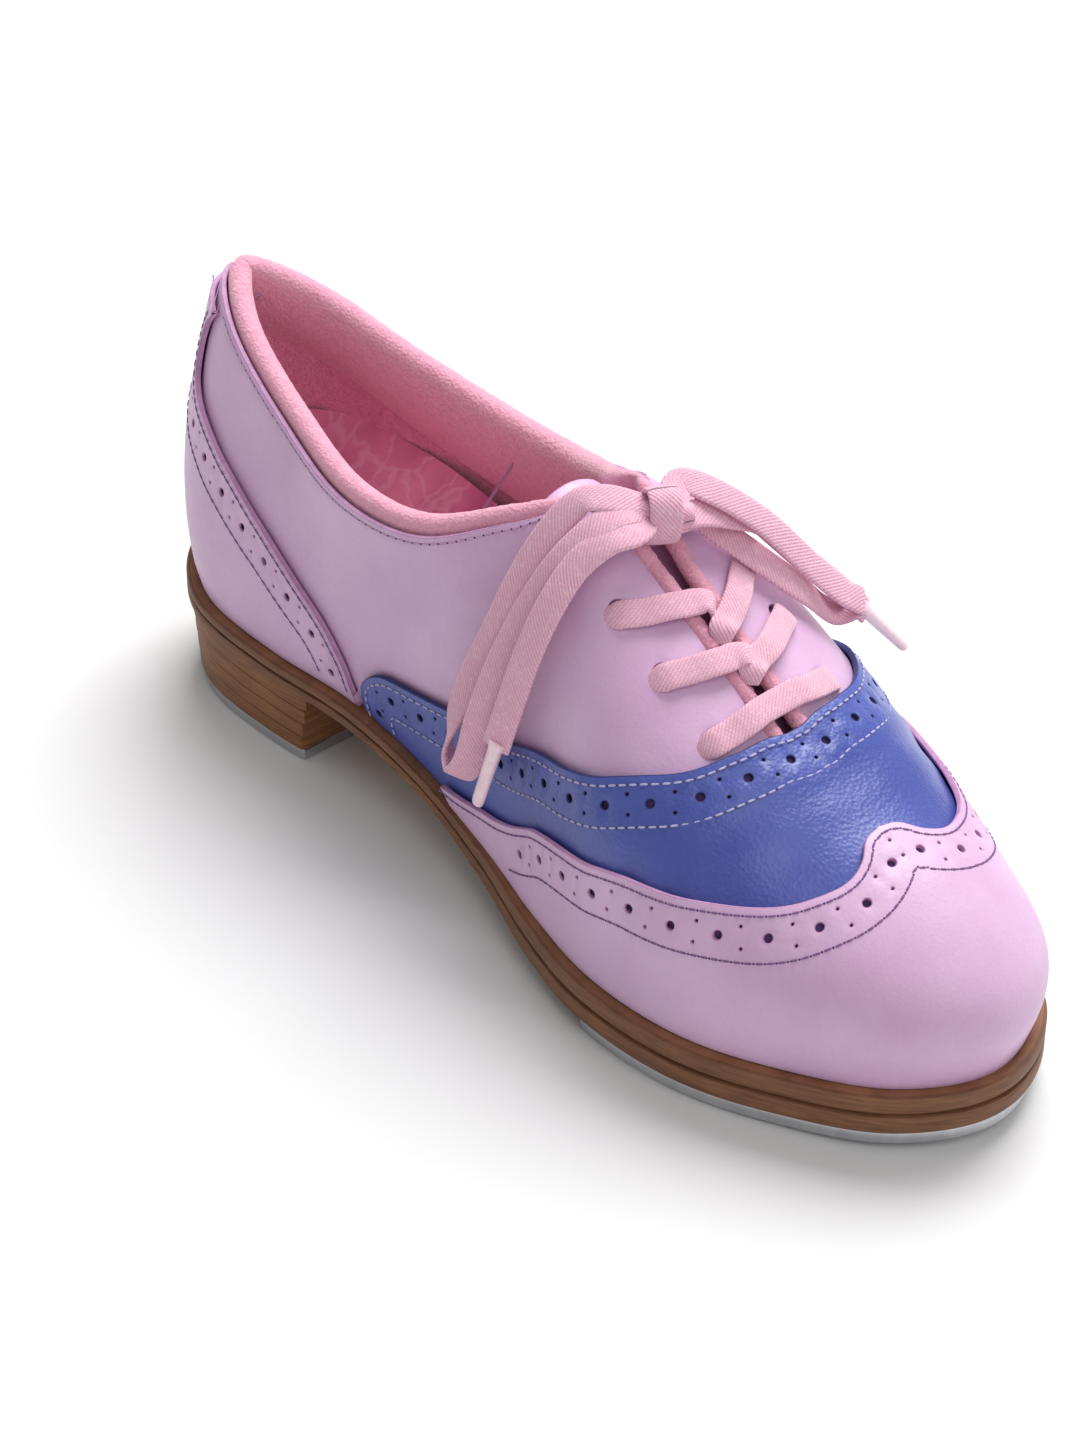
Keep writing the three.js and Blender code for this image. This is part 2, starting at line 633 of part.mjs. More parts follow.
const tapBottom = (x) => soleBottom(x) - GAP - TAP_THICKNESS;
const screwHoles = [];
function screwAt(name, x, y, base) {
  const profile = [[0, 0], [SCREW_RADIUS, 0], [SCREW_RADIUS * 0.62, SCREW_DEPTH], [0, SCREW_DEPTH]];
  const screw = new THREE.LatheGeometry(profile.map((p) => new THREE.Vector2(...p)), 12);
  screw.rotateX(Math.PI / 2);
  const mesh = add(name, screw, STEEL);
  mesh.position.set(x * LENGTH_SCALE, y * WIDTH_SCALE, base + SCREW_RECESS);
  screwHoles.push(mesh.position);
}
const TOE_SCREWS = [[183, -30], [183, 33], [236, 1]];
const HEEL_SCREWS = [[8, 0], [26, -17], [26, 17]];
TOE_SCREWS.forEach(([x, y], i) =>
  screwAt(`toe_tap_screw_${i + 1}`, x, y, tapBottom(x * LENGTH_SCALE)));
HEEL_SCREWS.forEach(([x, y], i) => screwAt(`heel_tap_screw_${i + 1}`, x, y, 0));

const straightUp = () => new THREE.Vector3(0, 0, 1);
const screwHole = SCREW_RADIUS + GAP;
add('toe_tap', pierced(plate(soleEdge(SOLE_LIP - TAP_MARGIN), TOE_TAP_REAR, 400, tapBottom,
  (x) => tapBottom(x) + TAP_THICKNESS, 16, 4), screwHoles.slice(0, 3), screwHole, straightUp),
STEEL);
add('heel_tap', pierced(plate(soleEdge(SOLE_LIP - TAP_MARGIN - 1.6), -50, HEEL_TAP_FRONT,
  () => 0, () => TAP_THICKNESS, 12, 4), screwHoles.slice(3), screwHole, straightUp), STEEL);

// ---- Laces -------------------------------------------------------------------------------------
const onSide = (station, side) => (side < 0 ? station : AROUND - station);

// A flat band through points, broad face along the given normals.
function band(points, normals, width, thickness) {
  const loops = points.map((p, i) => {
    const before = points[Math.max(0, i - 1)];
    const after = points[Math.min(points.length - 1, i + 1)];
    const along = after.clone().sub(before).normalize();
    const sideways = along.clone().cross(normals[i]).normalize();
    const up = sideways.clone().cross(along).normalize();
    return rollSection(p, sideways, up, width, thickness, 8);
  });
  return rings(loops);
}

// A point of a lace over one facing: t runs from the eyelet to the slot.
function overFacing(index, side, endStation, t) {
  const [station, rise] = EYELETS[index];
  const u = onSide(mix(station, endStation, t), side);
  const f = mix(rise - 0.03, 0.98, t);
  const lift = mix(GAP, (BINDING - LEATHER) / 2 + GAP, smoothstep(0.3, 0.75, t));
  return { point: skin(u, f, lift + LACE_THICKNESS / 2 + PLY_GAP), normal: lastNormal(u, f) };
}

const STRAP_STEPS = 7;
function strap(index, side, endStation) {
  const run = Array.from({ length: STRAP_STEPS + 1 }, (_, i) =>
    overFacing(index, side, endStation, i / STRAP_STEPS));
  return band(run.map((r) => r.point), run.map((r) => r.normal), LACE_WIDTH, LACE_THICKNESS);
}

// The bar joins the two front eyelets; behind it the lace crosses as straps.
const BAR_END = 9.5;
const barHalf = (side) => Array.from({ length: STRAP_STEPS }, (_, i) =>
  overFacing(0, side, BAR_END, i / STRAP_STEPS));
const bar = [...barHalf(-1), ...barHalf(1).reverse()];
add('lace_bar', band(bar.map((r) => r.point), bar.map((r) => r.normal), LACE_WIDTH, LACE_THICKNESS),
  LACE_PINK);
const STRAP_ENDS = [[1, 8.98, 9.1], [2, 8.4, 8.66]]; // eyelet, end station inner side, outer side
STRAP_ENDS.forEach(([index, inner, outer]) => {
  add(`lace_strap_medial_${index + 1}`, strap(index, -1, inner), LACE_PINK);
  add(`lace_strap_lateral_${index + 1}`, strap(index, 1, outer), LACE_PINK);
});

// Points near the bow, in the usual size of the shoe, moved with the size of the upper.
function near(x, y, z) {
  const base = featherHeight(x * LENGTH_SCALE);
  return new THREE.Vector3(x * LENGTH_SCALE, y * WIDTH_SCALE, base + (z - base) * UPPER_RISE);
}

const KNOT = [147, 0, 99.5];
function knotSolid() {
  const loops = [-6, -4.6, -2, 2, 4.6, 6].map((y) => {
    const size = 4.9 * Math.sqrt(1 - (y / 7.4) ** 2);
    return rollSection(near(KNOT[0], KNOT[1] + y, KNOT[2]), new THREE.Vector3(1, 0, 0),
      new THREE.Vector3(0, 0, 1), 2 * size, 1.9 * size, 10);
  });
  return rings(loops);
}
add('lace_knot', knotSolid(), LACE_PINK);

// Strands from the rear eyelets up to the knot.
function rearStrand(side) {
  const [station, rise] = EYELETS[3];
  const u = onSide(station, side);
  const lift = LACE_THICKNESS / 2 + PLY_GAP + GAP;
  const normal = lastNormal(u, rise);
  const points = [skin(u, rise - 0.03, lift), skin(u, rise + 0.05, lift + 0.6),
    near(143, side * 9.5, 97.2), near(145.5, side * 7.2, 98.6)];
  const up = new THREE.Vector3(0.2, 0, 1).normalize();
  return band(points, [normal, normal, up, up], LACE_WIDTH, LACE_THICKNESS);
}
add('lace_strand_medial', rearStrand(-1), LACE_PINK);
add('lace_strand_lateral', rearStrand(1), LACE_PINK);

// Free laces: two loops and two ends.
const CORDS = {
  bow_loop_medial: [[140.6, -8.6, 104.2], [136, -12.5, 103], [133, -19, 95.5], [130.5, -24, 86],
    [128, -28.6, 74], [123.8, -31.6, 61], [120.5, -33.8, 50], [121.5, -36.5, 42],
    [126, -38.2, 39.5], [130, -38.3, 45], [131.3, -36, 57], [132.8, -30.8, 70.5],
    [136, -26, 83.2], [139.8, -21.5, 93.4], [142.6, -15.5, 99.9], [144.2, -9.5, 102.2]],
  lace_end_medial: [[149, -9, 100.2], [147, -14.5, 99.4], [144.2, -20.5, 94.8],
    [143, -26.3, 87.5], [141.4, -31.2, 76.8], [139.9, -34.8, 64.8], [138.6, -38, 53.5]],
  bow_loop_lateral: [[143.8, 8.6, 102.6], [149.6, 12.6, 101.4], [156.4, 20.6, 94],
    [162.8, 28.2, 83.6], [168, 34.5, 75.5], [169.8, 38.6, 71.8], [165.8, 34.4, 69.4],
    [164.3, 26, 78], [159, 19.3, 85.3], [152.2, 13.8, 91.4], [147.6, 10.4, 94.8]],
  lace_end_lateral: [[150.8, 8.6, 98.2], [152.2, 15.2, 95.3], [153.2, 24, 89.8],
    [159.5, 31.3, 80.8], [164.6, 37.9, 72.8], [167.3, 42.5, 66.8]],
};
const CORD_STEP = 7;
const AGLET_LENGTH = 15;

function cordCurve(points) {
  return new THREE.CatmullRomCurve3(points.map((p) => near(...p)), false, 'centripetal');
}
Object.entries(CORDS).forEach(([name, points]) => {
  const curve = cordCurve(points);
  const circle = new THREE.Shape().absarc(0, 0, CORD_RADIUS, 0, 2 * Math.PI);
  const steps = Math.round(curve.getLength() / CORD_STEP);
  const tube = new THREE.ExtrudeGeometry(circle,
    { extrudePath: curve, steps, curveSegments: 8, bevelEnabled: false });
  add(name, mergeVertices(tube.deleteAttribute('normal').deleteAttribute('uv')), LACE_PINK);
});

function agletSolid(points) {
  const curve = cordCurve(points);
  const along = curve.getTangent(1);
  const sideways = new THREE.Vector3(0, 0, 1).cross(along).normalize();
  const upward = along.clone().cross(sideways);
  const loops = [GAP, 1.2, AGLET_LENGTH].map((d) =>
    rollSection(curve.getPoint(1).addScaledVector(along, d), sideways, upward,
      2 * AGLET_RADIUS, 1.5 * AGLET_RADIUS, 10));
  return rings(loops);
}
add('aglet_medial', agletSolid(CORDS.lace_end_medial), PLASTIC);
add('aglet_lateral', agletSolid(CORDS.lace_end_lateral), PLASTIC);

// The origin is under the middle of the shoe, on the floor.
const box = new THREE.Box3();
shoe.children.filter((mesh) => !/^(bow|lace_end|aglet)/.test(mesh.name))
  .forEach((mesh) => box.expandByObject(mesh));
const middle = box.getCenter(new THREE.Vector3());
shoe.children.forEach((mesh) => mesh.position.sub(new THREE.Vector3(middle.x, middle.y, box.min.z)));

export default shoe;
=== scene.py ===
"""Looks of the tap shoe. Lengths in the geometry are millimetres from the back of the heel."""

import math

import bpy
import numpy as np
from mathutils import Matrix, Vector, noise
from mathutils.geometry import delaunay_2d_cdt


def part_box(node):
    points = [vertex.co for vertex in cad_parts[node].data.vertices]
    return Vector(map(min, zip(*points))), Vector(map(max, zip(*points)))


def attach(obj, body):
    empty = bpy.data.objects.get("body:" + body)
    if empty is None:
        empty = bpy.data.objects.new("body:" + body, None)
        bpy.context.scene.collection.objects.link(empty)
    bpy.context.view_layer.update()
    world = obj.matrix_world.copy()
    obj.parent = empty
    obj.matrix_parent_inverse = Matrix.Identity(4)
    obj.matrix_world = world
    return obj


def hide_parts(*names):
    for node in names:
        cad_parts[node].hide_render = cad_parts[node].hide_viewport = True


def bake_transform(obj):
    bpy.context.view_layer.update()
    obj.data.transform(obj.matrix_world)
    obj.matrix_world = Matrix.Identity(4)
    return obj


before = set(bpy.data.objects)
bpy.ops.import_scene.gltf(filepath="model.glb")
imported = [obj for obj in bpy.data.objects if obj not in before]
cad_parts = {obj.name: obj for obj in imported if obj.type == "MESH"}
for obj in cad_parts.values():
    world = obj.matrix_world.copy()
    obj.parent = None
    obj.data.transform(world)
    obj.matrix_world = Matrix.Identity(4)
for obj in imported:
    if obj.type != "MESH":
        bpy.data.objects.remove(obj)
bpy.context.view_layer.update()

# The heel tap's rear screw stands 8 mm in front of the back of the heel, on the middle line.
low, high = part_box("heel_tap_screw_1")
ORIGIN = np.array([(low[0] + high[0]) * 500 - 8, (low[1] + high[1]) * 500, 0])
FLEX_START, FLEX_END = 125, 172
AZIMUTH, ELEVATION, ROLL = (math.radians(angle) for angle in (42.14, 36.26, 0.5))
CAMERA_TARGET, CAMERA_DISTANCE, CAMERA_LENS = (108.08, 2.07, 24.44), 0.86355, 95.84


def metres(points):
    return (np.asarray(points, float) + ORIGIN) / 1000


# ---- Camera ----
def add_camera():
    back = Vector((math.cos(AZIMUTH) * math.cos(ELEVATION),
                   -math.sin(AZIMUTH) * math.cos(ELEVATION), math.sin(ELEVATION)))
    right = Vector((math.sin(AZIMUTH), math.cos(AZIMUTH), 0))
    up = back.cross(right)
    right, up = (right * math.cos(ROLL) + up * math.sin(ROLL),
                 up * math.cos(ROLL) - right * math.sin(ROLL))
    data = bpy.data.cameras.new("camera")
    data.sensor_fit = "VERTICAL"
    data.sensor_height = 36
    data.lens = CAMERA_LENS
    data.clip_end = 10
    camera = bpy.data.objects.new("camera", data)
    place = Matrix((right, up, back)).transposed().to_4x4()
    place.translation = Vector(metres(CAMERA_TARGET)) + back * CAMERA_DISTANCE
    camera.matrix_world = place
    bpy.context.collection.objects.link(camera)
    bpy.context.scene.camera = camera


add_camera()

# ---- The last ----
# Heel to toe: x, half-width, z of the topline or ridge, then the feather line, inner and outer.
STATIONS = [
    (4.5, 0, 101.5, 3, 0, 3, 0),
    (9.5, 7, 100.3, 8.5, -14.5, 8.5, 14.5),
    (24, 14.8, 95.2, 25, -25, 25, 25.5),
    (47, 21, 87, 50, -26.5, 50, 27.5),
    (73, 26.2, 80.9, 77, -24, 77, 27),
    (98, 25, 82.8, 103, -24, 103, 28.8),
    (118, 15.5, 92.5, 129, -28, 129, 33.8),
    (133, 4.5, 100.5, 152, -34, 152, 39),
    (150, 0, 89.3, 175, -38.3, 175, 41.5),
    (170, 0, 77, 198, -36.8, 197, 37),
    (188, 0, 65.6, 219, -29, 219.5, 29),
    (202, 0, 58, 238.5, -17.3, 239, 18),
    (209, 0, 54.6, 247.5, -0.5, 247.5, -0.5),
]
TOE = 12
AROUND = 24
FLARE = 28
LOW = np.array([s[3:5] for s in STATIONS] + [s[5:7] for s in STATIONS[-2:0:-1]], float)
TOP = np.array([(s[0], -s[1], s[2]) for s in STATIONS]
               + [(s[0], s[1], s[2]) for s in STATIONS[-2:0:-1]], float)


def smoothstep(a, b, x):
    t = np.clip((np.asarray(x, float) - a) / (b - a), 0, 1)
    return t * t * (3 - 2 * t)


def mix(a, b, t):
    return a + (b - a) * t


def unit(v):
    return v / np.maximum(np.linalg.norm(v, axis=-1, keepdims=True), 1e-9)


def circle(sides):
    return np.linspace(0, 2 * np.pi, sides, endpoint=False)


def travelled(line):
    """How far along a line each of its points is."""
    return np.concatenate([[0], np.cumsum(np.linalg.norm(np.diff(line, axis=0), axis=1))])


def sole_bottom(x):
    heel = 20.5 + 2.5 * np.clip(1 - np.asarray(x, float) / 62, 0, 1)
    return mix(heel, 3.5, smoothstep(60, 165, x)) + 2.5 * np.clip((x - 195) / 56, 0, 1.3) ** 2


def layer_thickness(x):
    return mix(2.6, 5, smoothstep(95, 160, x))


def feather_height(x):
    return sole_bottom(x) + 2 * layer_thickness(x) + 0.6


def around(points, u):
    """A closed smooth curve through the points, one for each whole u."""
    u = np.asarray(u, float)
    i = np.floor(u).astype(int)
    t = (u - i)[..., None]
    a, b, c, d = (points[(i + k) % len(points)] for k in (-1, 0, 1, 2))
    return b + 0.5 * t * (c - a + t * (2 * a - 5 * b + 4 * c - d + t * (3 * (b - c) + d - a)))


def station_of(u):
    return np.minimum(u % AROUND, AROUND - u % AROUND)


def feather(u):
    return around(LOW, u)


def topline(u):
    p = around(TOP, u)
    side = np.where(np.asarray(u) % AROUND <= TOE, -1, 1)
    p[..., 1] = np.maximum(p[..., 1] * side, 0) * side
    return p


def outward(u):
    along = feather(u + 1e-3) - feather(u - 1e-3)
    n = np.stack([along[..., 1], -along[..., 0]], -1)
    return unit(n)


def arch(station, f):
    """How far in and how far up a point of a given rise is, as shares of the whole way."""
    front = smoothstep(4.5, 8, station)
    power = 2 / (2.35 + 1.15 * smoothstep(8.5, 12, station))
    angle = f * np.pi / 2
    inward = mix(f, 1 - np.maximum(np.cos(angle), 0) ** power, front)
    return inward, mix(f, np.sin(angle) ** power, front), front


def last(u, rise):
    u, f = np.broadcast_arrays(np.asarray(u, float), np.clip(rise, 0, 1))
    station = station_of(u)
    inward, height, front = arch(station, f)
    swell = 2.6 + 3.4 * (1 - smoothstep(0, 3, station)) + 1.9 * smoothstep(9, 12, station)
    low, high = feather(u), topline(u)
    base = feather_height(low[..., 0])
    slope = front * mix(-0.58, -0.42, smoothstep(10, 12, station))
    plan = mix(low, high[..., :2], inward[..., None])
    z = base + (high[..., 2] + slope * (plan[..., 0] - high[..., 0]) - base) * height
    plan = plan + outward(u) * (swell * np.sin(np.pi * f ** 0.75))[..., None]
    return np.concatenate([plan, z[..., None]], -1)


def last_normal(u, rise):
    f = np.clip(rise, 0.004, 0.985)
    across = last(u + 0.01, f) - last(u - 0.01, f)
    up = last(u, f + 0.004) - last(u, f - 0.004)
    n = np.cross(across, up)
    ridge = smoothstep(8.2, 9, station_of(u)) * smoothstep(0.9, 1, rise)
    n[..., 1] *= 1 - ridge
    return unit(n)


def skin(u, rise, offset):
    n = last_normal(u, rise)
    n[..., 2] *= smoothstep(0, 0.1, rise)
    return last(u, rise) + unit(n) * np.asarray(offset)[..., None]


# The flat pattern is the plan of the last with its walls folded outward.
def spread(station, rise):
    return (np.asarray(rise, float) + arch(station, rise)[0]) / 2


def rise_of(station, share):
    low, high = np.zeros(share.shape), np.ones(share.shape)
    for _ in range(22):
        middle = (low + high) / 2
        above = spread(station, middle) > share
        low, high = np.where(above, low, middle), np.where(above, middle, high)
    return np.where(share < 0, share, np.where(share > 1, share, (low + high) / 2))


def flat(u, rise):
    u = np.asarray(u, float)
    low = feather(u) + outward(u) * FLARE
    share = spread(station_of(u), np.asarray(rise, float))
    return mix(low, topline(u)[..., :2], np.asarray(share)[..., None])


GRID_U = np.arange(0, AROUND, 1 / 16)
GRID_LOW, GRID_HIGH = flat(GRID_U, 0), flat(GRID_U, 1)


def locate(points):
    """u and rise of points of the flat pattern."""
    p = np.asarray(points, float)[:, None]
    run = GRID_HIGH - GRID_LOW
    side = run[:, 0] * (p[..., 1] - GRID_LOW[:, 1]) - run[:, 1] * (p[..., 0] - GRID_LOW[:, 0])
    nxt = np.roll(side, -1, axis=1)
    t = side / np.where(side == nxt, 1, side - nxt)
    low = mix(GRID_LOW, np.roll(GRID_LOW, -1, 0), t[..., None])
    high = mix(GRID_HIGH, np.roll(GRID_HIGH, -1, 0), t[..., None])
    f = ((p - low) * (high - low)).sum(-1) / ((high - low) ** 2).sum(-1)
    miss = np.maximum(0, np.maximum(-f, f - 1)) + np.where(side * nxt > 0, 1e6, 0)
    best = miss.argmin(1)
    rows = np.arange(len(best))
    u = GRID_U[best] + t[rows, best] / 16
    return u, rise_of(station_of(u), f[rows, best])


def on_last(points, offset):
    u, f = locate(points)
    return skin(u, f, np.broadcast_to(offset, u.shape))


def surface_step(points, direction):
    """The flat points moved so that their places on the last move by direction."""
    goal = on_last(points, 0) + direction
    for _ in range(3):
        e = 0.1
        a = (on_last(points + (e, 0), 0) - on_last(points - (e, 0), 0)) / (2 * e)
        b = (on_last(points + (0, e), 0) - on_last(points - (0, e), 0)) / (2 * e)
        left = goal - on_last(points, 0)
        aa, bb, ab = (a * a).sum(-1), (b * b).sum(-1), (a * b).sum(-1)
        da, db = (a * left).sum(-1), (b * left).sum(-1)
        det = np.maximum(aa * bb - ab * ab, 1e-3)
        move = np.stack([(bb * da - ab * db) / det, (aa * db - ab * da) / det], -1)
        points = points + np.clip(move, -1.5, 1.5)
    return points


# ---- Lines on the flat pattern ----
def smooth_line(points, step):
    """A smooth curve through the points, sampled evenly."""
    p = np.asarray(points, float)
    ends = [2 * p[0] - p[1], 2 * p[-1] - p[-2]]
    q = np.concatenate([ends[:1], p, ends[1:]])
    t = np.linspace(0, 1, 24, endpoint=False)[:, None]
    out = []
    for i in range(1, len(q) - 2):
        a, b, c, d = q[i - 1:i + 3]
        k = max(np.linalg.norm(c - b), 1e-6)
        m0 = (c - a) * k / max(np.linalg.norm(b - a) + k, 1e-6)
        m1 = (d - b) * k / max(np.linalg.norm(d - c) + k, 1e-6)
        out.append((2 * t ** 3 - 3 * t ** 2 + 1) * b + (t ** 3 - 2 * t ** 2 + t) * m0
                   + (3 * t ** 2 - 2 * t ** 3) * c + (t ** 3 - t ** 2) * m1)
    dense = np.concatenate([*out, p[-1:]])
    return resample(dense, step)


def resample(line, step):
    lengths = travelled(line)
    count = max(2, int(round(lengths[-1] / step)) + 1)
    at = np.linspace(0, lengths[-1], count)
    return np.stack([np.interp(at, lengths, line[:, k]) for k in range(line.shape[1])], -1)


def one_side(edge, side):
    e = np.array(edge, float)
    return flat(e[:, 0] if side < 0 else AROUND - e[:, 0], e[:, 1])


def both_sides(edge, middle):
    """A line from the inner side over the middle to the outer side."""
    return np.concatenate([one_side(edge, -1), flat(*middle)[None], one_side(edge, 1)[::-1]])


def feather_line(start, stop):
    return flat(np.linspace(start, stop, max(2, int(abs(stop - start) / 0.12))), 0)


def inset(line, distance):
    """The line moved sideways on the last by a distance, to the left of its direction."""
    edge = on_last(line, 0)
    steps = max(1, int(abs(distance)))
    moved = line
    for k in range(steps):
        u, f = locate(moved)
        along = unit(np.gradient(on_last(moved, 0), axis=0))
        moved = surface_step(moved, np.cross(last_normal(u, f), along) * distance / steps)
        gap = np.linalg.norm(on_last(moved, 0)[:, None] - edge, axis=-1).min(1)
        moved = moved[gap > 0.93 * abs(distance) * (k + 1) / steps]
    return resample(moved, 1.2)


def on_surface(line, step, offset=0.0):
    """Points every step along a flat line: flat points, places, directions and normals."""
    lengths = travelled(on_last(line, offset))
    count = max(2, int(round(lengths[-1] / step)) + 1)
    at = np.linspace(0, lengths[-1], count)
    spots = np.stack([np.interp(at, lengths, line[:, k]) for k in range(2)], -1)
    places = on_last(spots, offset)
    along = unit(np.gradient(places, axis=0))
    u, f = locate(spots)
    return spots, places, along, last_normal(u, f)


def round_hole(spot, radius, sides=14):
    """A hole's outline on the flat pattern that is round on the last."""
    spot = np.asarray(spot, float)[None]
    u, f = locate(spot)
    n = last_normal(u, f)[0]
    x = np.cross(n, (0, 0, 1.0))
    x /= np.linalg.norm(x)
    y = np.cross(n, x)
    a = circle(sides)[:, None]
    ring = (np.cos(a) * x + np.sin(a) * y) * radius
    return surface_step(np.repeat(spot, sides, 0), ring)


# ---- Meshes ----
def make(name, points, faces, materials, index=None, sharp=40):
    mesh = bpy.data.meshes.new(name)
    mesh.from_pydata(metres(points).tolist(), [], faces)
    for material in materials:
        mesh.materials.append(material)
    if index is not None:
        mesh.polygons.foreach_set("material_index", index)
    mesh.polygons.foreach_set("use_smooth", [True] * len(mesh.polygons))
    mesh.validate()
    mesh.set_sharp_from_angle(angle=math.radians(sharp))
    obj = bpy.data.objects.new(name, mesh)
    bpy.context.collection.objects.link(obj)
    return obj


def inside(points, loop):
    a, b = loop, np.roll(loop, -1, 0)
    x, y = points[:, :1], points[:, 1:]
    crosses = (a[:, 1] > y) != (b[:, 1] > y)
    dy = np.where(b[:, 1] == a[:, 1], 1, b[:, 1] - a[:, 1])
    return (crosses & (x < a[:, 0] + (y - a[:, 1]) * (b[:, 0] - a[:, 0]) / dy)).sum(1) % 2 == 1


def within(points, loops):
    """Which points lie in the first loop and in none of the others."""
    keep = inside(points, loops[0])
    for hole in loops[1:]:
        keep &= ~inside(points, hole)
    return keep


def area(loop):
    x, y = loop[:, 0], loop[:, 1]
    return 0.5 * (x * np.roll(y, -1) - y * np.roll(x, -1)).sum()


def cut(name, loop, holes, at, materials, rounding=0.25, step=2.5, floor=None):
    """A sheet with thickness, cut to a loop, with holes. at(points, h) gives the places of the
    back (h 0) and the face (h 1). Rounded cut edges take the second material; a third, a dark
    colour of painted shade, closes the bottom of each hole."""
    loops = [loop if area(loop) > 0 else loop[::-1]]
    loops += [h if area(h) < 0 else h[::-1] for h in holes]
    rim = np.concatenate(loops)
    low, high = rim.min(0), rim.max(0)
    xs, ys = np.arange(low[0], high[0], step), np.arange(low[1], high[1], step * 0.866)
    gx, gy = np.meshgrid(xs, ys)
    gx = gx + np.where(np.arange(len(ys)) % 2, step / 2, 0)[:, None]
    grid = np.stack([gx.ravel(), gy.ravel()], -1)
    grid = grid[within(grid, loops)]
    near = np.concatenate([((grid[i:i + 500, None] - rim) ** 2).sum(-1).min(1)
                           for i in range(0, len(grid), 500)]) if len(grid) else np.zeros(0)
    grid = grid[near > (0.45 * step) ** 2]
    points = np.concatenate([rim, grid])
    edges, start = [], 0
    for ring in loops:
        n = len(ring)
        edges += [(start + k, start + (k + 1) % n) for k in range(n)]
        start += n
    out = delaunay_2d_cdt([Vector(p) for p in points], edges, [], 0, 1e-5)
    flat_points = np.array([tuple(v) for v in out[0]])
    triangles = np.array(out[2])
    triangles = triangles[within(flat_points[triangles].mean(1), loops)]
    where = {}
    for i, origins in enumerate(out[3]):
        for o in origins:
            where[o] = i
    n_flat = len(flat_points)
    face, back = at(flat_points, 1.0), at(flat_points, 0.0)
    vertices = [face, back]
    faces = [tuple(t) for t in triangles] + [tuple(n_flat + k for k in t[::-1]) for t in triangles]
    index = [0] * len(faces)
    base, start = 2 * n_flat, 0
    for number, ring in enumerate(loops):
        n = len(ring)
        ids = [where[start + k] for k in range(n)]
        start += n
        along = np.roll(ring, -1, 0) - np.roll(ring, 1, 0)
        away = unit(np.stack([along[:, 1], -along[:, 0]], -1))
        scale = np.linalg.norm(at(ring + away * 0.1, 1.0) - at(ring, 1.0), axis=1) / 0.1
        wide = ring + away * (rounding / np.maximum(scale, 0.2))[:, None]
        thick = np.linalg.norm(at(ring, 1.0) - at(ring, 0.0), axis=1).mean()
        h = min(0.45, rounding / thick)
        half = ring + away * (0.7 * rounding / np.maximum(scale, 0.2))[:, None]
        vertices += [at(half, 1 - 0.3 * h), at(wide, 1 - h), at(wide, h)]
        rows = [ids, *[[base + r * n + k for k in range(n)] for r in range(3)],
                [n_flat + i for i in ids]]
        base += 3 * n
        for above, below in zip(rows, rows[1:]):
            for k in range(n):
                m = (k + 1) % n
                faces.append((above[k], below[k], below[m], above[m]))
                index.append(min(1, len(materials) - 1))
        if number and floor is not None:
            faces.append(tuple(rows[3]))
            index.append(floor)
    return make(name, np.concatenate(vertices), faces, materials, index)


def tube(name, rings, materials, endless=False, uv=None, sharp=60):
    """Skins an array of rings of points, with its ends closed or joined."""
    count, n = rings.shape[:2]
    faces = []
    for i in range(count if endless else count - 1):
        j = (i + 1) % count
        for k in range(n):
            m = (k + 1) % n
            faces.append((i * n + k, j * n + k, j * n + m, i * n + m))
    if not endless:
        faces.append(tuple(range(n)))
        faces.append(tuple((count - 1) * n + k for k in reversed(range(n))))
    obj = make(name, rings.reshape(-1, 3), faces, materials, sharp=sharp)
    if uv is not None:
        layer = obj.data.uv_layers.new(name="UVMap")
        flat_uv = np.asarray(uv, float).reshape(-1, 2)
        loops = np.array([loop.vertex_index for loop in obj.data.loops])
        layer.data.foreach_set("uv", flat_uv[loops].ravel())
    return obj


# ---- Materials ----
def linear(r, g, b):
    return tuple((v / 12.92 if v <= 0.04045 else ((v + 0.055) / 1.055) ** 2.4)
                 for v in (r / 255, g / 255, b / 255)) + (1,)


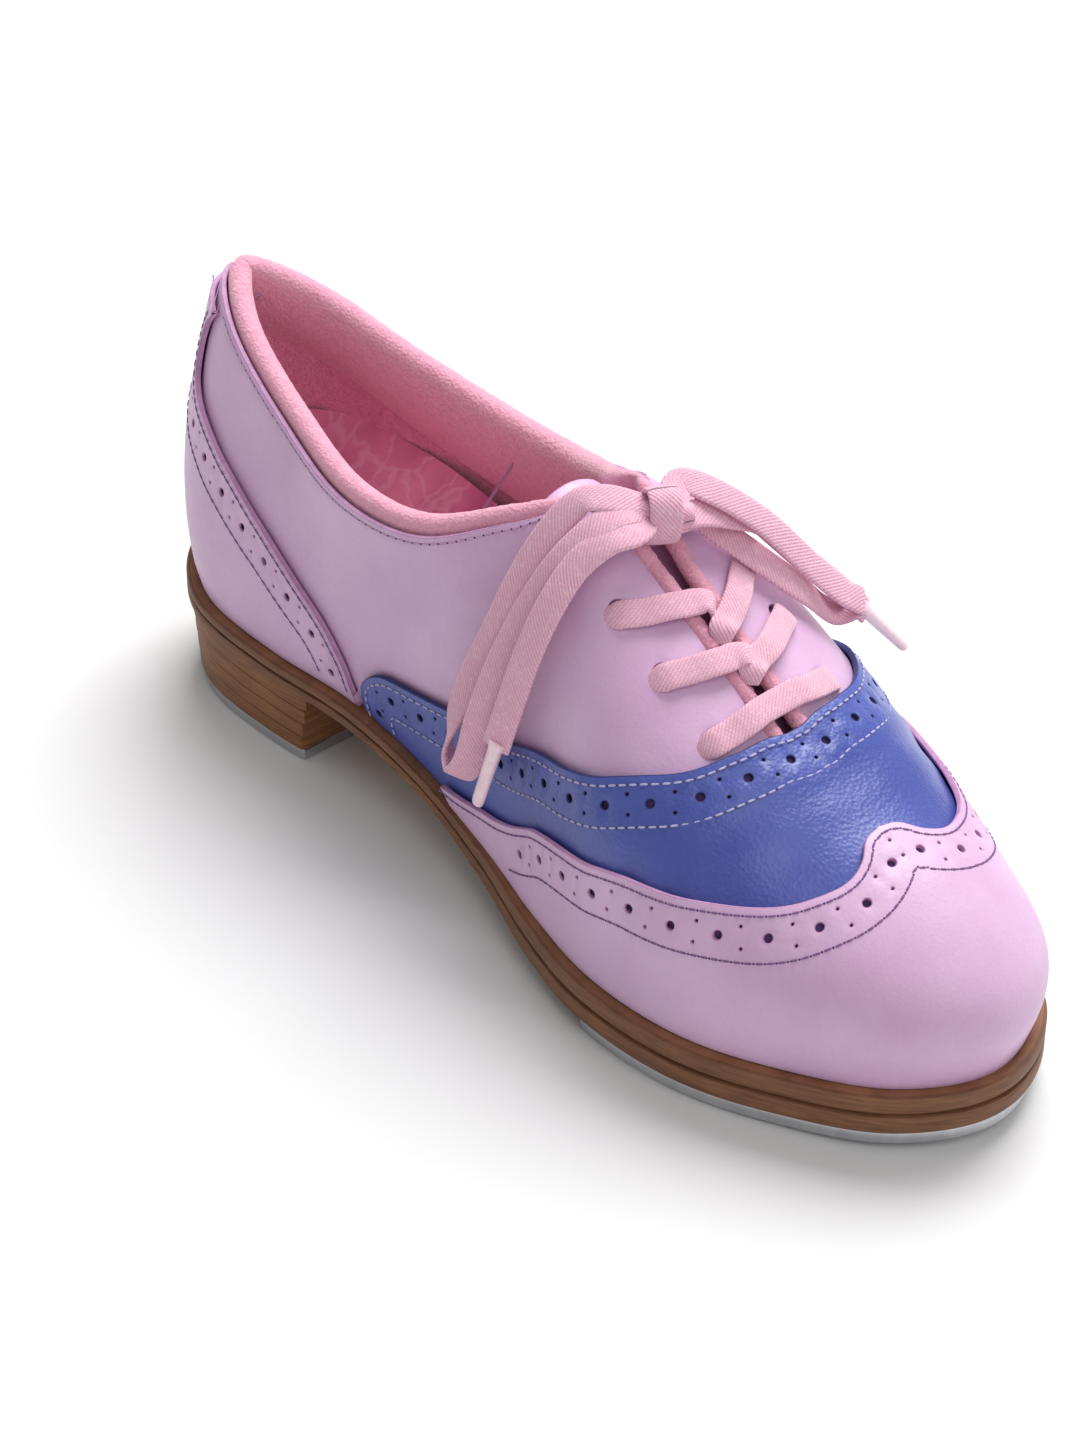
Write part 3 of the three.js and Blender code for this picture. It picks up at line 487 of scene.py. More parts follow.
class Shader:
    """A Principled material whose nodes are made by short calls. Scales are per millimetre."""

    def __init__(self, name, **sockets):
        self.material = bpy.data.materials.new(name)
        self.material.use_nodes = True
        self.tree = self.material.node_tree
        self.surface = self.tree.nodes["Principled BSDF"]
        for key, value in sockets.items():
            self.surface.inputs[key.replace("_", " ")].default_value = value
        self.where = self.node("ShaderNodeTexCoord").outputs["Object"]

    def node(self, kind, **values):
        node = self.tree.nodes.new(kind)
        for key, value in values.items():
            setattr(node, key, value)
        return node

    def link(self, a, b):
        self.tree.links.new(a, b)

    def stretched(self, x, y, z, source=None):
        node = self.node("ShaderNodeMapping")
        node.inputs["Scale"].default_value = (x, y, z)
        self.link(source or self.where, node.inputs["Vector"])
        return node.outputs["Vector"]

    def noise(self, per_mm, detail=3.0, vector=None, rough=0.5):
        node = self.node("ShaderNodeTexNoise")
        node.inputs["Scale"].default_value = per_mm * 1000
        node.inputs["Detail"].default_value = detail
        node.inputs["Roughness"].default_value = rough
        self.link(vector or self.where, node.inputs["Vector"])
        return node.outputs["Fac"]

    def cells(self, per_mm, feature="F1", vector=None):
        node = self.node("ShaderNodeTexVoronoi", feature=feature)
        node.inputs["Scale"].default_value = per_mm * 1000
        self.link(vector or self.where, node.inputs["Vector"])
        return node.outputs["Distance"]

    def ramp(self, factor, *stops):
        node = self.node("ShaderNodeValToRGB")
        while len(node.color_ramp.elements) < len(stops):
            node.color_ramp.elements.new(0.5)
        for element, (place, colour) in zip(node.color_ramp.elements, stops):
            element.position = place
            element.color = colour
        self.link(factor, node.inputs["Fac"])
        return node.outputs["Color"]

    def shades(self, factor, low, first, high, second):
        return self.ramp(factor, (low, linear(*first)), (high, linear(*second)))

    def bands(self, vector, direction, scale, distortion=0.0):
        node = self.node("ShaderNodeTexWave", wave_type="BANDS", bands_direction=direction)
        node.inputs["Scale"].default_value = scale
        node.inputs["Distortion"].default_value = distortion
        self.link(vector, node.inputs["Vector"])
        return node.outputs["Color"]

    def blend(self, factor, a, b, mode="MIX"):
        node = self.node("ShaderNodeMix", data_type="RGBA", blend_type=mode)
        for socket, value in ((node.inputs[0], factor), (node.inputs[6], a), (node.inputs[7], b)):
            if isinstance(value, bpy.types.NodeSocket):
                self.link(value, socket)
            else:
                socket.default_value = value
        return node.outputs[2]

    def colour(self, output):
        self.link(output, self.surface.inputs["Base Color"])
        return self

    def rough(self, factor, low, high):
        node = self.node("ShaderNodeMapRange")
        node.inputs["To Min"].default_value = low
        node.inputs["To Max"].default_value = high
        self.link(factor, node.inputs["Value"])
        self.link(node.outputs["Result"], self.surface.inputs["Roughness"])
        return self

    def bump(self, *layers):
        """Each layer is a height and its depth in millimetres."""
        normal = None
        for height, depth in layers:
            node = self.node("ShaderNodeBump")
            node.inputs["Distance"].default_value = depth / 1000
            self.link(height, node.inputs["Height"])
            if normal:
                self.link(normal, node.inputs["Normal"])
            normal = node.outputs["Normal"]
        self.link(normal, self.surface.inputs["Normal"])
        return self


def leather(name, light, dark, low, high, grain=0.12, coat=0.0):
    s = Shader(name, Specular_IOR_Level=0.45, Coat_Weight=coat, Coat_Roughness=0.25)
    tone = s.noise(0.035, 4)
    pores = s.noise(0.9, 5, rough=0.7)
    base = s.shades(tone, 0.3, dark, 0.68, light)
    s.colour(s.blend(0.16, base, s.shades(pores, 0.35, dark, 0.6, light)))
    s.rough(s.noise(0.25, 3), low, high)
    return s.bump((s.cells(1.1), grain), (s.noise(0.3, 4), grain * 1.6),
                  (s.noise(3, 2), grain * 0.3)).material


def plain(name, light, dark, roughness, per_mm=0.4, depth=0.08, **sockets):
    s = Shader(name, Roughness=roughness, **sockets)
    s.colour(s.shades(s.noise(per_mm), 0.35, dark, 0.65, light))
    return s.bump((s.noise(per_mm * 3, 4), depth)).material


def terry(name, light, dark):
    s = Shader(name, Roughness=0.95, Sheen_Weight=0.35, Sheen_Roughness=0.5,
               Specular_IOR_Level=0.15)
    loops = s.cells(1.3)
    fleck = s.noise(0.5, 5, rough=0.75)
    base = s.shades(fleck, 0.34, dark, 0.6, light)
    s.colour(s.blend(0.45, base, s.shades(loops, 0.1, light, 0.75, dark)))
    return s.bump((loops, 0.2), (s.noise(2.2, 4), 0.16)).material


def marbled():
    s = Shader("marbled_cloth", Roughness=0.85, Sheen_Weight=0.2, Specular_IOR_Level=0.2)
    wobble = s.node("ShaderNodeTexNoise")
    wobble.inputs["Scale"].default_value = 55
    wobble.inputs["Detail"].default_value = 4
    s.link(s.where, wobble.inputs["Vector"])
    add = s.node("ShaderNodeVectorMath", operation="MULTIPLY_ADD")
    add.inputs[1].default_value = (0.022, 0.022, 0.022)
    s.link(wobble.outputs["Color"], add.inputs[0])
    s.link(s.where, add.inputs[2])
    flat_place = s.stretched(1, 1, 0.3, add.outputs["Vector"])
    veins = s.cells(0.11, "DISTANCE_TO_EDGE", flat_place)
    cloud = s.shades(s.noise(0.05, 4), 0.35, (190, 96, 136), 0.7, (222, 138, 170))
    vein = s.ramp(veins, (0.0, (0.26, 0.26, 0.26, 1)), (0.07, (0, 0, 0, 1)))
    s.colour(s.blend(vein, cloud, linear(240, 206, 218)))
    return s.bump((s.noise(1.5, 4), 0.12)).material


def woven(name, light, dark):
    """A flat weave that follows the lace: u runs along it and v across it, in millimetres."""
    s = Shader(name, Roughness=0.9, Sheen_Weight=0.25, Specular_IOR_Level=0.2)
    uv = s.node("ShaderNodeTexCoord").outputs["UV"]
    weave = s.blend(0.5, s.bands(uv, "DIAGONAL", 0.62, 0.5), s.bands(uv, "Y", 0.5), "MULTIPLY")
    base = s.shades(weave, 0.0, dark, 0.6, light)
    fleck = s.ramp(s.noise(0.9, 5, rough=0.8), (0.52, (0, 0, 0, 1)), (0.66, (1, 1, 1, 1)))
    s.colour(s.blend(s.blend(0.4, (0, 0, 0, 1), fleck), base, linear(250, 224, 230)))
    return s.bump((weave, 0.12), (s.noise(2.5, 3), 0.08)).material


def stacked(name, light, dark):
    s = Shader(name, Specular_IOR_Level=0.35)
    fibre = s.noise(0.5, 4, s.stretched(0.25, 0.25, 3))
    tone = s.noise(0.06, 3)
    base = s.shades(fibre, 0.3, dark, 0.7, light)
    s.colour(s.blend(0.35, base, s.shades(tone, 0.3, dark, 0.7, light)))
    s.rough(tone, 0.45, 0.65)
    return s.bump((fibre, 0.1), (s.noise(1.2, 3), 0.05)).material


def metal(name, low, high):
    s = Shader(name, Metallic=1.0)
    brushed = s.noise(0.25, 3, s.stretched(0.1, 2, 0.1))
    s.colour(s.shades(brushed, 0.3, (182, 183, 187), 0.7, (196, 197, 201)))
    s.rough(brushed, low, high)
    return s.bump((brushed, 0.003)).material


LILAC = leather("lilac_leather", (217, 181, 215), (200, 158, 197), 0.38, 0.5, 0.035, 0.08)
LILAC_EDGE = plain("lilac_cut_edge", (198, 150, 190), (182, 132, 174), 0.7)
BLUE = leather("blue_leather", (80, 94, 174), (62, 75, 150), 0.28, 0.42, 0.09, 0.2)
BLUE_EDGE = plain("blue_cut_edge", (52, 58, 120), (38, 42, 92), 0.7)
# Painted shade: a dark colour that closes the bottoms of holes and slots and marks the needle
# holes.
HOLE_SHADE = plain("hole_shadow", (84, 62, 112), (62, 42, 88), 0.9)
PLUM_THREAD = plain("plum_thread", (140, 98, 150), (112, 72, 124), 0.7, 1.6, 0.1)
PALE_THREAD = plain("pale_thread", (186, 182, 212), (156, 154, 192), 0.7, 1.6, 0.1)
PINK_THREAD = plain("pink_thread", (206, 164, 200), (190, 144, 184), 0.7, 1.6, 0.1)
TERRY = terry("pink_terry", (234, 172, 192), (218, 148, 172))
# The lining is the collar's terry made darker: painted shade for the inside of the shoe.
SHADED_TERRY = terry("pink_terry_lining_shaded", (232, 158, 184), (206, 122, 154))
MARBLED = marbled()
LACE = woven("lace_cotton", (232, 182, 201), (214, 156, 180))
SOLE = stacked("sole_leather", (158, 110, 76), (112, 72, 48))
SOLE_EDGE = stacked("sole_edge", (140, 96, 66), (94, 60, 40))
SOLE_LINE = stacked("sole_line", (196, 156, 112), (166, 122, 80))
HEEL = stacked("heel_leather", (150, 102, 64), (104, 64, 36))
BOARD = plain("fibre_board", (186, 158, 128), (164, 134, 104), 0.9)
FOAM = plain("foam", (234, 222, 204), (218, 204, 184), 0.95, 0.8, 0.2)
STEEL = metal("steel", 0.26, 0.32)
AGLET = plain("aglet_plastic", (248, 220, 228), (238, 204, 216), 0.3, 0.4, 0.02, Coat_Weight=0.4)

# ---- Layers and panels ----
LEATHER, PLY = 1.3, 0.6
QUARTER = (-1.3, 0)
OVERLAY = (PLY, PLY + LEATHER)
CAP = (2 * PLY + LEATHER, 2 * PLY + 2 * LEATHER)
LINED = (-6.2, -4.6)
SLOT_RISE = 0.943
COLLAR_RISE = 0.93
QUARTER_TOP = 0.962
SEAM_RISE = 0.94
EYELET_RADIUS = 2.2

VAMP_EDGE = [(4.15, 0.03), (4.2, 0.18), (4.6, 0.32), (5.6, 0.33), (6.6, 0.31), (7.3, 0.35),
             (7.8, 0.43), (8.3, 0.54), (8.8, 0.66), (9.25, 0.81), (9.6, 0.93)]
VAMP_MIDDLE = (9.97, 1)
CAP_EDGE = [(5.3, 0.05), (5.9, 0.09), (6.8, 0.15), (7.8, 0.24), (8.4, 0.315), (8.95, 0.375),
            (9.45, 0.45), (9.9, 0.54), (10.35, 0.67), (10.7, 0.78), (10.96, 0.873), (11.15, 0.94)]
PEAK = (12, 0.992)
VAMP_FRONT = [(5.6, 0), (6.5, 0.05), (7.6, 0.13), (8.8, 0.24), (9.6, 0.35), (10.3, 0.5),
              (10.9, 0.68), (11.5, 0.83)]
QUARTER_FRONT = [(5.4, 0), (6.2, 0.12), (7, 0.19), (7.7, 0.29), (8.3, 0.4), (8.9, 0.53),
                 (9.4, 0.68), (9.9, 0.85), (10.05, SLOT_RISE)]
COUNTER_EDGE = [(4.02, 0), (4, 0.09), (3.95, 0.2), (3.75, 0.33), (3.4, 0.43), (2.95, 0.51),
                (2.55, 0.56), (2.1, 0.605), (1.6, 0.635), (1.2, 0.67), (1.04, 0.74),
                (1.1, 0.83), (1.35, 0.91)]
EYELETS = [(8.95, 0.78), (8.28, 0.79), (7.62, 0.79), (7.02, 0.81)]


def layer_of(offsets, crease=None):
    def at(points, h):
        offset = mix(offsets[0], offsets[1], h)
        if crease is not None:
            offset = offset + crease(points)
        return on_last(points, offset)
    return at


def settle(obj, slot, *nodes, body=None):
    """Hides the CAD nodes of a piece and hangs it on a body: the given one, else the rear when the
    piece lies wholly behind the flex; other pieces have their transform baked. The slot is not
    used.
    """
    if nodes:
        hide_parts(*nodes)
    if body:
        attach(obj, body)
        return obj
    xs = [v.co.x for v in obj.data.vertices]
    start, end = metres((FLEX_START, 0, 0)), metres((FLEX_END, 0, 0))
    if max(xs) <= start[0]:
        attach(obj, "rear")
    else:
        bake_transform(obj)
    return obj


def above_feather(line, rise):
    """The part of a flat line that lies on the upper."""
    return line[locate(line)[1] > rise]


def perforations(edge, pitch=10.2, big=1.15, small=0.55, inside_by=5.6):
    """Brogue holes along an edge: large ones, with a pair of small ones between each two."""
    spots = on_surface(above_feather(inset(edge, inside_by), 0.09), pitch / 2)[0]
    holes = [round_hole(p, big) for p in spots[::2]]
    for shift in (-2.1, 2.1):
        near = on_surface(above_feather(inset(edge, inside_by + shift), 0.05), 1.0)[0]
        for p in spots[1::2]:
            q = near[((near - p) ** 2).sum(1).argmin()]
            holes.append(round_hole(q, small, 8))
    return holes


STITCH = np.array([(x, y, z) for x, r in ((-1, 0.35), (-0.55, 1), (0.55, 1), (1, 0.35))
                   for y, z in [(r * math.cos(a), r * math.sin(a))
                                for a in np.linspace(0, 2 * math.pi, 6, endpoint=False)]])
STITCH_FACES = [(i * 6 + k, i * 6 + (k + 1) % 6, i * 6 + 6 + (k + 1) % 6, i * 6 + 6 + k)
                for i in range(3) for k in range(6)] + [(5, 4, 3, 2, 1, 0), tuple(range(18, 24))]


def stitches(name, lines, offset, thread, pitch=2.4, length=1.75, width=0.24):
    """Rows of stitches on the last, each a small rounded bar with a needle hole at its end; the
    needle hole is a dark disc of painted shade.
    """
    vertices, faces, index, base = [], [], [], 0
    for line in lines:
        line = above_feather(line, 0.03)
        places, along, normals = on_surface(line, pitch, offset)[1:]
        across = np.cross(normals, along)
        for p, t, n, s in zip(places, along, normals, across):
            bar = p + (STITCH[:, :1] * length / 2 * t + STITCH[:, 1:2] * width * s
                       + STITCH[:, 2:] * width * 0.62 * n) + n * 0.1
            vertices.append(bar)
            faces += [tuple(base + k for k in f) for f in STITCH_FACES]
            index += [0] * len(STITCH_FACES)
            base += 24
            centre = p + t * pitch / 2 + n * 0.06
            ring = [centre + 0.26 * (math.cos(a) * t + math.sin(a) * s)
                    for a in np.linspace(0, 2 * math.pi, 6, endpoint=False)]
            vertices.append(np.array(ring))
            faces.append(tuple(base + k for k in range(6)))
            index.append(1)
            base += 6
    return make(name, np.concatenate(vertices), faces, [thread, HOLE_SHADE], index)


def panel(node, loop, holes, offsets, rows, thread, finish, slot, crease=None):
    """A leather piece with its brogue holes and its rows of stitches."""
    piece = cut(f"{node}_leather", loop, holes, layer_of(offsets, crease), [*finish, HOLE_SHADE],
                floor=2)
    settle(piece, slot, node)
    settle(stitches(f"stitches_{node}", rows, offsets[1], thread), slot)


def vamp_crease(points):
    u, f = locate(points)
    p = last(u, f)
    zone = np.exp(-((p[:, 0] - 188) / 17) ** 2)
    waves = np.sin(p[:, 0] * 0.62 + 0.05 * np.abs(p[:, 1]) ** 1.3) + 0.6 * np.sin(
        p[:, 0] * 0.33 + p[:, 1] * 0.11)
    return 0.22 * zone * waves


def quarter(side, name):
    def u(station):
        return station if side < 0 else AROUND - station
    lower = np.concatenate([feather_line(u(0.05), u(5.3)),
                            smooth_line(one_side(QUARTER_FRONT, side), 1.8)])
    slot = flat(np.linspace(u(9.95), u(7.25), 24), SLOT_RISE)
    station = np.linspace(6.9, 0.05, 90)
    top = flat(u(station), mix(QUARTER_TOP, SLOT_RISE, smoothstep(5.8, 6.9, station)))
    loop = np.concatenate([lower, slot[1:], top])
    holes = [round_hole(flat(u(s), f), EYELET_RADIUS, 18) for s, f in EYELETS]
    leather_piece = cut(name, loop, holes, layer_of(QUARTER), [LILAC, LILAC_EDGE, HOLE_SHADE], floor=2)
    settle(leather_piece, "lilac_leather", name)
    seam = flat(u(np.linspace(6.75, 1.6, 80)), SEAM_RISE)
    settle(stitches(f"stitches_{name}", [seam], 0, PINK_THREAD), "lilac_leather")


quarter(-1, "quarter_medial")
quarter(1, "quarter_lateral")

# Blue vamp with its rows of stitches.
vamp_top = smooth_line(both_sides(VAMP_EDGE, VAMP_MIDDLE), 1.6)
vamp_front = smooth_line(both_sides(VAMP_FRONT, (12, 0.86)), 2.0)
loop = np.concatenate([vamp_top, feather_line(AROUND - 4.3, AROUND - 5.5),
                       vamp_front[::-1], feather_line(5.5, 4.3)])
rows = [inset(vamp_top, d) for d in (-1.7, -10.3)]
panel("vamp", loop, perforations(vamp_top, inside_by=-5.6), OVERLAY, rows, PALE_THREAD,
      (BLUE, BLUE_EDGE), "blue_leather", vamp_crease)

# Winged toe cap.
cap_halves = [smooth_line(np.concatenate([one_side(CAP_EDGE, side), flat(*PEAK)[None]]), 1.6)
              for side in (-1, 1)]
cap_top = np.concatenate([cap_halves[0], cap_halves[1][::-1][1:]])
loop = np.concatenate([cap_top, feather_line(AROUND - 5.4, 5.4)])
rows = [inset(cap_top, d) for d in (-1.5, -10.3)]
panel("toe_cap", loop, perforations(cap_top, inside_by=-5.6), CAP, rows, PLUM_THREAD,
      (LILAC, LILAC_EDGE), "lilac_leather")

# Heel counter.
counter_edge = smooth_line(one_side(COUNTER_EDGE, -1), 1.6)
other_edge = smooth_line(one_side(COUNTER_EDGE, 1), 1.6)
top = flat(np.linspace(-1.3, 1.3, 18), 0.91)
loop = np.concatenate([counter_edge, top, other_edge[::-1], feather_line(4, -4)])
holes = (perforations(counter_edge[:-8], inside_by=5.6)
         + perforations(other_edge[:-8], inside_by=-5.6))
rows = [inset(counter_edge, d)[2:-3] for d in (1.6, 10.3)]
rows += [inset(other_edge, -d)[2:-3] for d in (1.6, 10.3)]
panel("heel_counter", loop, holes, OVERLAY, rows, PLUM_THREAD, (LILAC, LILAC_EDGE),
      "lilac_leather")


# ---- Terry lining, collar roll, bindings, tongue ----
def pile(points, normals, depth):
    """Moves points along their normals like looped cloth."""
    lift = [depth * (noise.noise(Vector(p) * 0.9) + 0.6 * noise.noise(Vector(p) * 2.1))
            for p in points]
    return points + normals * np.array(lift)[:, None]


def lining_piece():
    u = np.linspace(0, AROUND, 400, endpoint=False)
    station = station_of(u)
    rise = np.where(station < 6.6, COLLAR_RISE, SLOT_RISE)
    upper = flat(u, rise)
    inner, outer = flat(9.95, SLOT_RISE), flat(14.05, SLOT_RISE)
    across = np.clip((u - 9.95) / 4.1, 0, 1)[:, None]
    upper = np.where(station[:, None] > 9.95, mix(inner, outer, across), upper)
    lower = flat(u, 0)
    rows, count = [], 44
    for k in range(count):
        spots = mix(lower, upper, k / (count - 1))
        uu, ff = locate(spots)
        face = skin(uu, ff, LINED[0])
        rows.append(pile(face, -last_normal(uu, ff), 0.25))
    for k in (count - 1, 0):
        spots = mix(lower, upper, k / (count - 1))
        rows.append(on_last(spots, LINED[1]))
    # The lining takes the darker terry, whose colour carries painted shade.
    obj = tube("terry_lining", np.array(rows), [SHADED_TERRY], endless=True, sharp=80)
    settle(obj, "pink_terry", "lining")


lining_piece()


def roll(name, centres, sideways, upward, width, height, nodes, depth, sides, taper):
    """A rounded strip of terry along centres, with drawn-in ends."""
    angle = circle(sides)
    count = len(centres)
    reach = np.minimum(np.arange(count), np.arange(count)[::-1]) / taper
    size = np.sqrt(np.clip(1 - (1 - np.clip(reach, 0, 1)) ** 2, 0.02, 1))[:, None, None]
    spin = (np.cos(angle)[None, :, None] * sideways[:, None] * width / 2
            + np.sin(angle)[None, :, None] * upward[:, None] * height / 2)
    rings = centres[:, None] + spin * size
    normals = unit(spin)
    shape = rings.shape
    rings = pile(rings.reshape(-1, 3), normals.reshape(-1, 3), depth).reshape(shape)
    obj = tube(name, rings, [TERRY])
    return settle(obj, "pink_terry", *nodes)


COLLAR_END = 7.3
# Section of the padded collar: outward and upward from the top edge of the lining.
COLLAR_SECTION = [(1.1, 0.6), (1.4, 2.4), (1.7, 4.3), (0.7, 5.8), (-1.2, 6.2), (-3.1, 5.2),
                  (-4.5, 2.4), (-5.3, -1.5), (-5.5, -6), (-5.0, -10.5), (-4.1, -14.5),
                  (-3.5, -17), (-3.3, -14), (-3.3, -9), (-3.3, -4), (-3.2, -0.2), (-1.4, 0.5)]


def collar():
    u = np.linspace(-COLLAR_END, COLLAR_END, 560)
    front = smoothstep(6.1, 7.2, np.abs(u))
    rise = mix(COLLAR_RISE, SLOT_RISE, front)
    middle = mix((LINED[0] + QUARTER[1]) / 2, -1.2, front)
    place = u % AROUND
    edge, below = skin(place, rise, middle), skin(place, rise - 0.04, middle)
    tall = np.linalg.norm(edge - below, axis=1)
    upward = (edge - below) / tall[:, None]
    outer = last_normal(place, rise)
    closed = smooth_line(np.array(COLLAR_SECTION + COLLAR_SECTION[:1], float), 0.3)
    section = resample(closed, np.linalg.norm(np.diff(closed, axis=0), axis=1).sum() / 32)[:-1]
    turn = -np.pi / 3 + 2 * np.pi * np.arange(len(section)) / len(section)
    thin = np.stack([1.9 * np.cos(turn), 2 + 1.9 * np.sin(turn)], -1)
    depth = mix(0.4, 1, smoothstep(0, 1.8, np.abs(u)))
    ends = np.clip((COLLAR_END - np.abs(u)) / 0.12, 0.1, 1) ** 0.5
    rings = []
    for padded, narrow in zip(section, thin):
        across = padded[0] if padded[0] > -3.3 else -3.3 + (padded[0] + 3.3) * depth
        s, t = (mix(across, narrow[0], front) * ends, mix(padded[1], narrow[1] * ends, front))
        high = edge + outer * s[:, None] + upward * t[:, None]
        low = skin(place, rise + np.minimum(t, 0) * 0.04 / tall, middle + s)
        rings.append(np.where(t[:, None] >= 0, high, low))
    rings = np.array(rings).transpose(1, 0, 2)
    away = unit(rings - rings.mean(1, keepdims=True))
    soft = pile(rings.reshape(-1, 3), away.reshape(-1, 3), 0.13).reshape(rings.shape)
    piece = settle(tube("collar_terry", soft, [TERRY]), "pink_terry", "collar_roll")


collar()
for side, name in ((-1, "facing_binding_medial"), (1, "facing_binding_lateral")):
    station = np.linspace(7.1, 9.85, 170)
    u = station if side < 0 else AROUND - station
    edge = skin(u, SLOT_RISE, -0.65)
    normal = last_normal(u, 0.95)
    inward = unit(np.array([0, -side, 0]) - normal * (normal[:, 1] * -side)[:, None])
    roll(f"{name}_terry", edge + inward * 1.9, inward, normal, 3.9, 3.9, [name], 0.24, 18, 6)


def tongue_piece():
    def place(points, h):
        s, v = points[:, 0], points[:, 1]
        half = 13.4 * mix(0.72, mix(1, 0.72, smoothstep(150, 184, s)), smoothstep(112, 146, s))
        across = v * half
        curve = mix(26, 68, smoothstep(124, 152, s))
        depth = 8.7 + 9 * np.maximum(0, (140 - s) / 28) ** 1.5
        ridge = 65.6 + 35 * (188 - s) / 57
        return np.stack([s, across, ridge - depth - across ** 2 / curve - 1.8 * (1 - h)], -1)

    def at(points, h):
        return place(points * (1, 1 / 12), h)
    corner = [(118.5, -9), (119.5, -11), (122, -12), (183, -12), (184, -11), (184, 11), (183, 12),
              (122, 12), (119.5, 11), (118.5, 9)]
    line = np.concatenate([resample(np.array([a, b], float), 1.5)[:-1]
                           for a, b in zip(corner, corner[1:] + corner[:1])])
    obj = cut("tongue_leather", line, [], at, [LILAC, LILAC_EDGE], rounding=0.5, step=2)
    settle(obj, "lilac_leather", "tongue")


tongue_piece()


# ---- Bottom ----
RING_U = np.linspace(0, AROUND, 480, endpoint=False)
BEHIND_HEEL, BEYOND_TOE = -50, 400


def outline(margin):
    """The sole's outline; the margin is measured from the feather line."""
    return feather(RING_U) + outward(RING_U) * np.broadcast_to(margin, RING_U.shape)[:, None]


def sole_edge(lip):
    return lip + OVERLAY[1] + (CAP[1] - OVERLAY[1]) * smoothstep(5, 8, station_of(RING_U))


def trimmed(loop, x0=BEHIND_HEEL, x1=BEYOND_TOE):
    """The part of a closed outline between two cross lines."""
    def clip(points, x, keep_above):
        out = []
        for a, b in zip(points, np.roll(points, -1, 0)):
            ina, inb = (a[0] >= x) == keep_above, (b[0] >= x) == keep_above
            if ina:
                out.append(a)
            if ina != inb:
                out.append(a + (b - a) * (x - a[0]) / (b[0] - a[0]))
        return np.array(out)
    loop = clip(clip(loop, x0, True), x1, False)
    closed = np.concatenate([loop, loop[:1]])
    return resample(closed, 1.6)[:-1]


def slab(name, loop, bottom, top, materials, slot, nodes, holes=(), rounding=0.5, body=None,
         step=5):
    def at(points, h):
        x, y = points[:, 0], points[:, 1]
        return np.stack([x, y, mix(bottom(x, y), top(x, y), h)], -1)
    obj = cut(name, loop, holes, at, materials, rounding=rounding, step=step)
    return settle(obj, slot, *nodes, body=body)


def over(height, gap=0.0):
    return lambda x, y: height(x) + gap


def outsole_top(x):
    return sole_bottom(x) + layer_thickness(x)


full = trimmed(outline(sole_edge(2)))
slab("outsole_leather", full, over(sole_bottom), over(outsole_top), [SOLE, SOLE_EDGE],
     "sole_leather", ["outsole"], rounding=0.9)
slab("midsole_leather", full, over(outsole_top, 0.3), over(feather_height, -0.4),
     [SOLE, SOLE_EDGE], "sole_leather", ["midsole"], rounding=0.9)
slab("sole_seam", trimmed(outline(sole_edge(1.1))), over(outsole_top, -0.35),
     over(outsole_top, 0.65), [SOLE_LINE], "sole_leather", [], rounding=0.1)

inner_line = trimmed(outline(LINED[0] - 0.8))
cup_line = trimmed(outline(LINED[0] - 2.6))


def board_bottom(x):
    return feather_height(x) + 1.6


def cupped(x, y):
    """Height of the padded footbed, which rises towards the walls."""
    inner = cup_line[cup_line[:, 1] < 0]
    outer = cup_line[cup_line[:, 1] >= 0]
    inner, outer = inner[inner[:, 0].argsort()], outer[outer[:, 0].argsort()]
    y0 = np.interp(x, inner[:, 0], inner[:, 1])
    y1 = np.interp(x, outer[:, 0], outer[:, 1])
    side = np.clip((2 * y - y0 - y1) / np.maximum(y1 - y0, 1), -1, 1)
    middle = mix(48.5, 22.5, smoothstep(55, 185, x)) + 0.05 * np.maximum(x - 195, 0)
    return middle + mix(11, 1.5, smoothstep(70, 175, x)) * side * side


slab("cork_layer", trimmed(outline(LINED[0] - 0.8), 152), over(feather_height),
     over(feather_height, 1.3), [BOARD], "fibre_board", ["cork_filler"])
slab("insole_sheet", inner_line, over(board_bottom), over(board_bottom, 2), [BOARD],
     "fibre_board", ["insole_board"])
footbed = slab("footbed_foam", cup_line, over(board_bottom, 2.3), cupped, [FOAM], "foam",
               ["footbed"])
slab("sock_liner_cloth", cup_line, lambda x, y: cupped(x, y) + 0.3,
     lambda x, y: cupped(x, y) + 1.3, [MARBLED], "marbled_cloth", ["sock_liner"],
     rounding=0.4, step=3)
shank_line = np.array([(34, -5.5), (148, -5.5), (148, 7.5), (34, 7.5)], float)
slab("shank_strip", trimmed(shank_line), over(feather_height), over(feather_height, 1.3),
     [STEEL], "steel", ["shank"])

# Stacked heel: lifts of leather, each a little smaller than the one above.
for k in range(4):
    margin = sole_edge(1.4 - 0.35 * (3 - k))
    line = trimmed(outline(margin), BEHIND_HEEL, 62 - 0.8 * (3 - k))

    def level(x, n):
        return mix(3.5, sole_bottom(x), n / 4)
    slab(f"heel_layer_{k + 1}", line, lambda x, y, n=k: level(x, n),
         lambda x, y, n=k: level(x, n + 1) - 0.3, [HEEL], "sole_leather", [f"heel_lift_{k + 1}"],
         rounding=0.35, body="rear", step=6)


def ring(x, y, radius, sides=28):
    a = circle(sides)
    return np.stack([x + radius * np.cos(a), y + radius * np.sin(a)], -1)


TOE_SCREWS = [(183, -30), (183, 33), (236, 1)]
HEEL_SCREWS = [(8, 0), (26, -17), (26, 17)]
SCREW_HOLE, SCREW_HEAD, TAP_THICKNESS = 2.6, 2.3, 3.2


def tap_bottom(x):
    return sole_bottom(x) - 3.5


def ground(x):
    return 0 * x


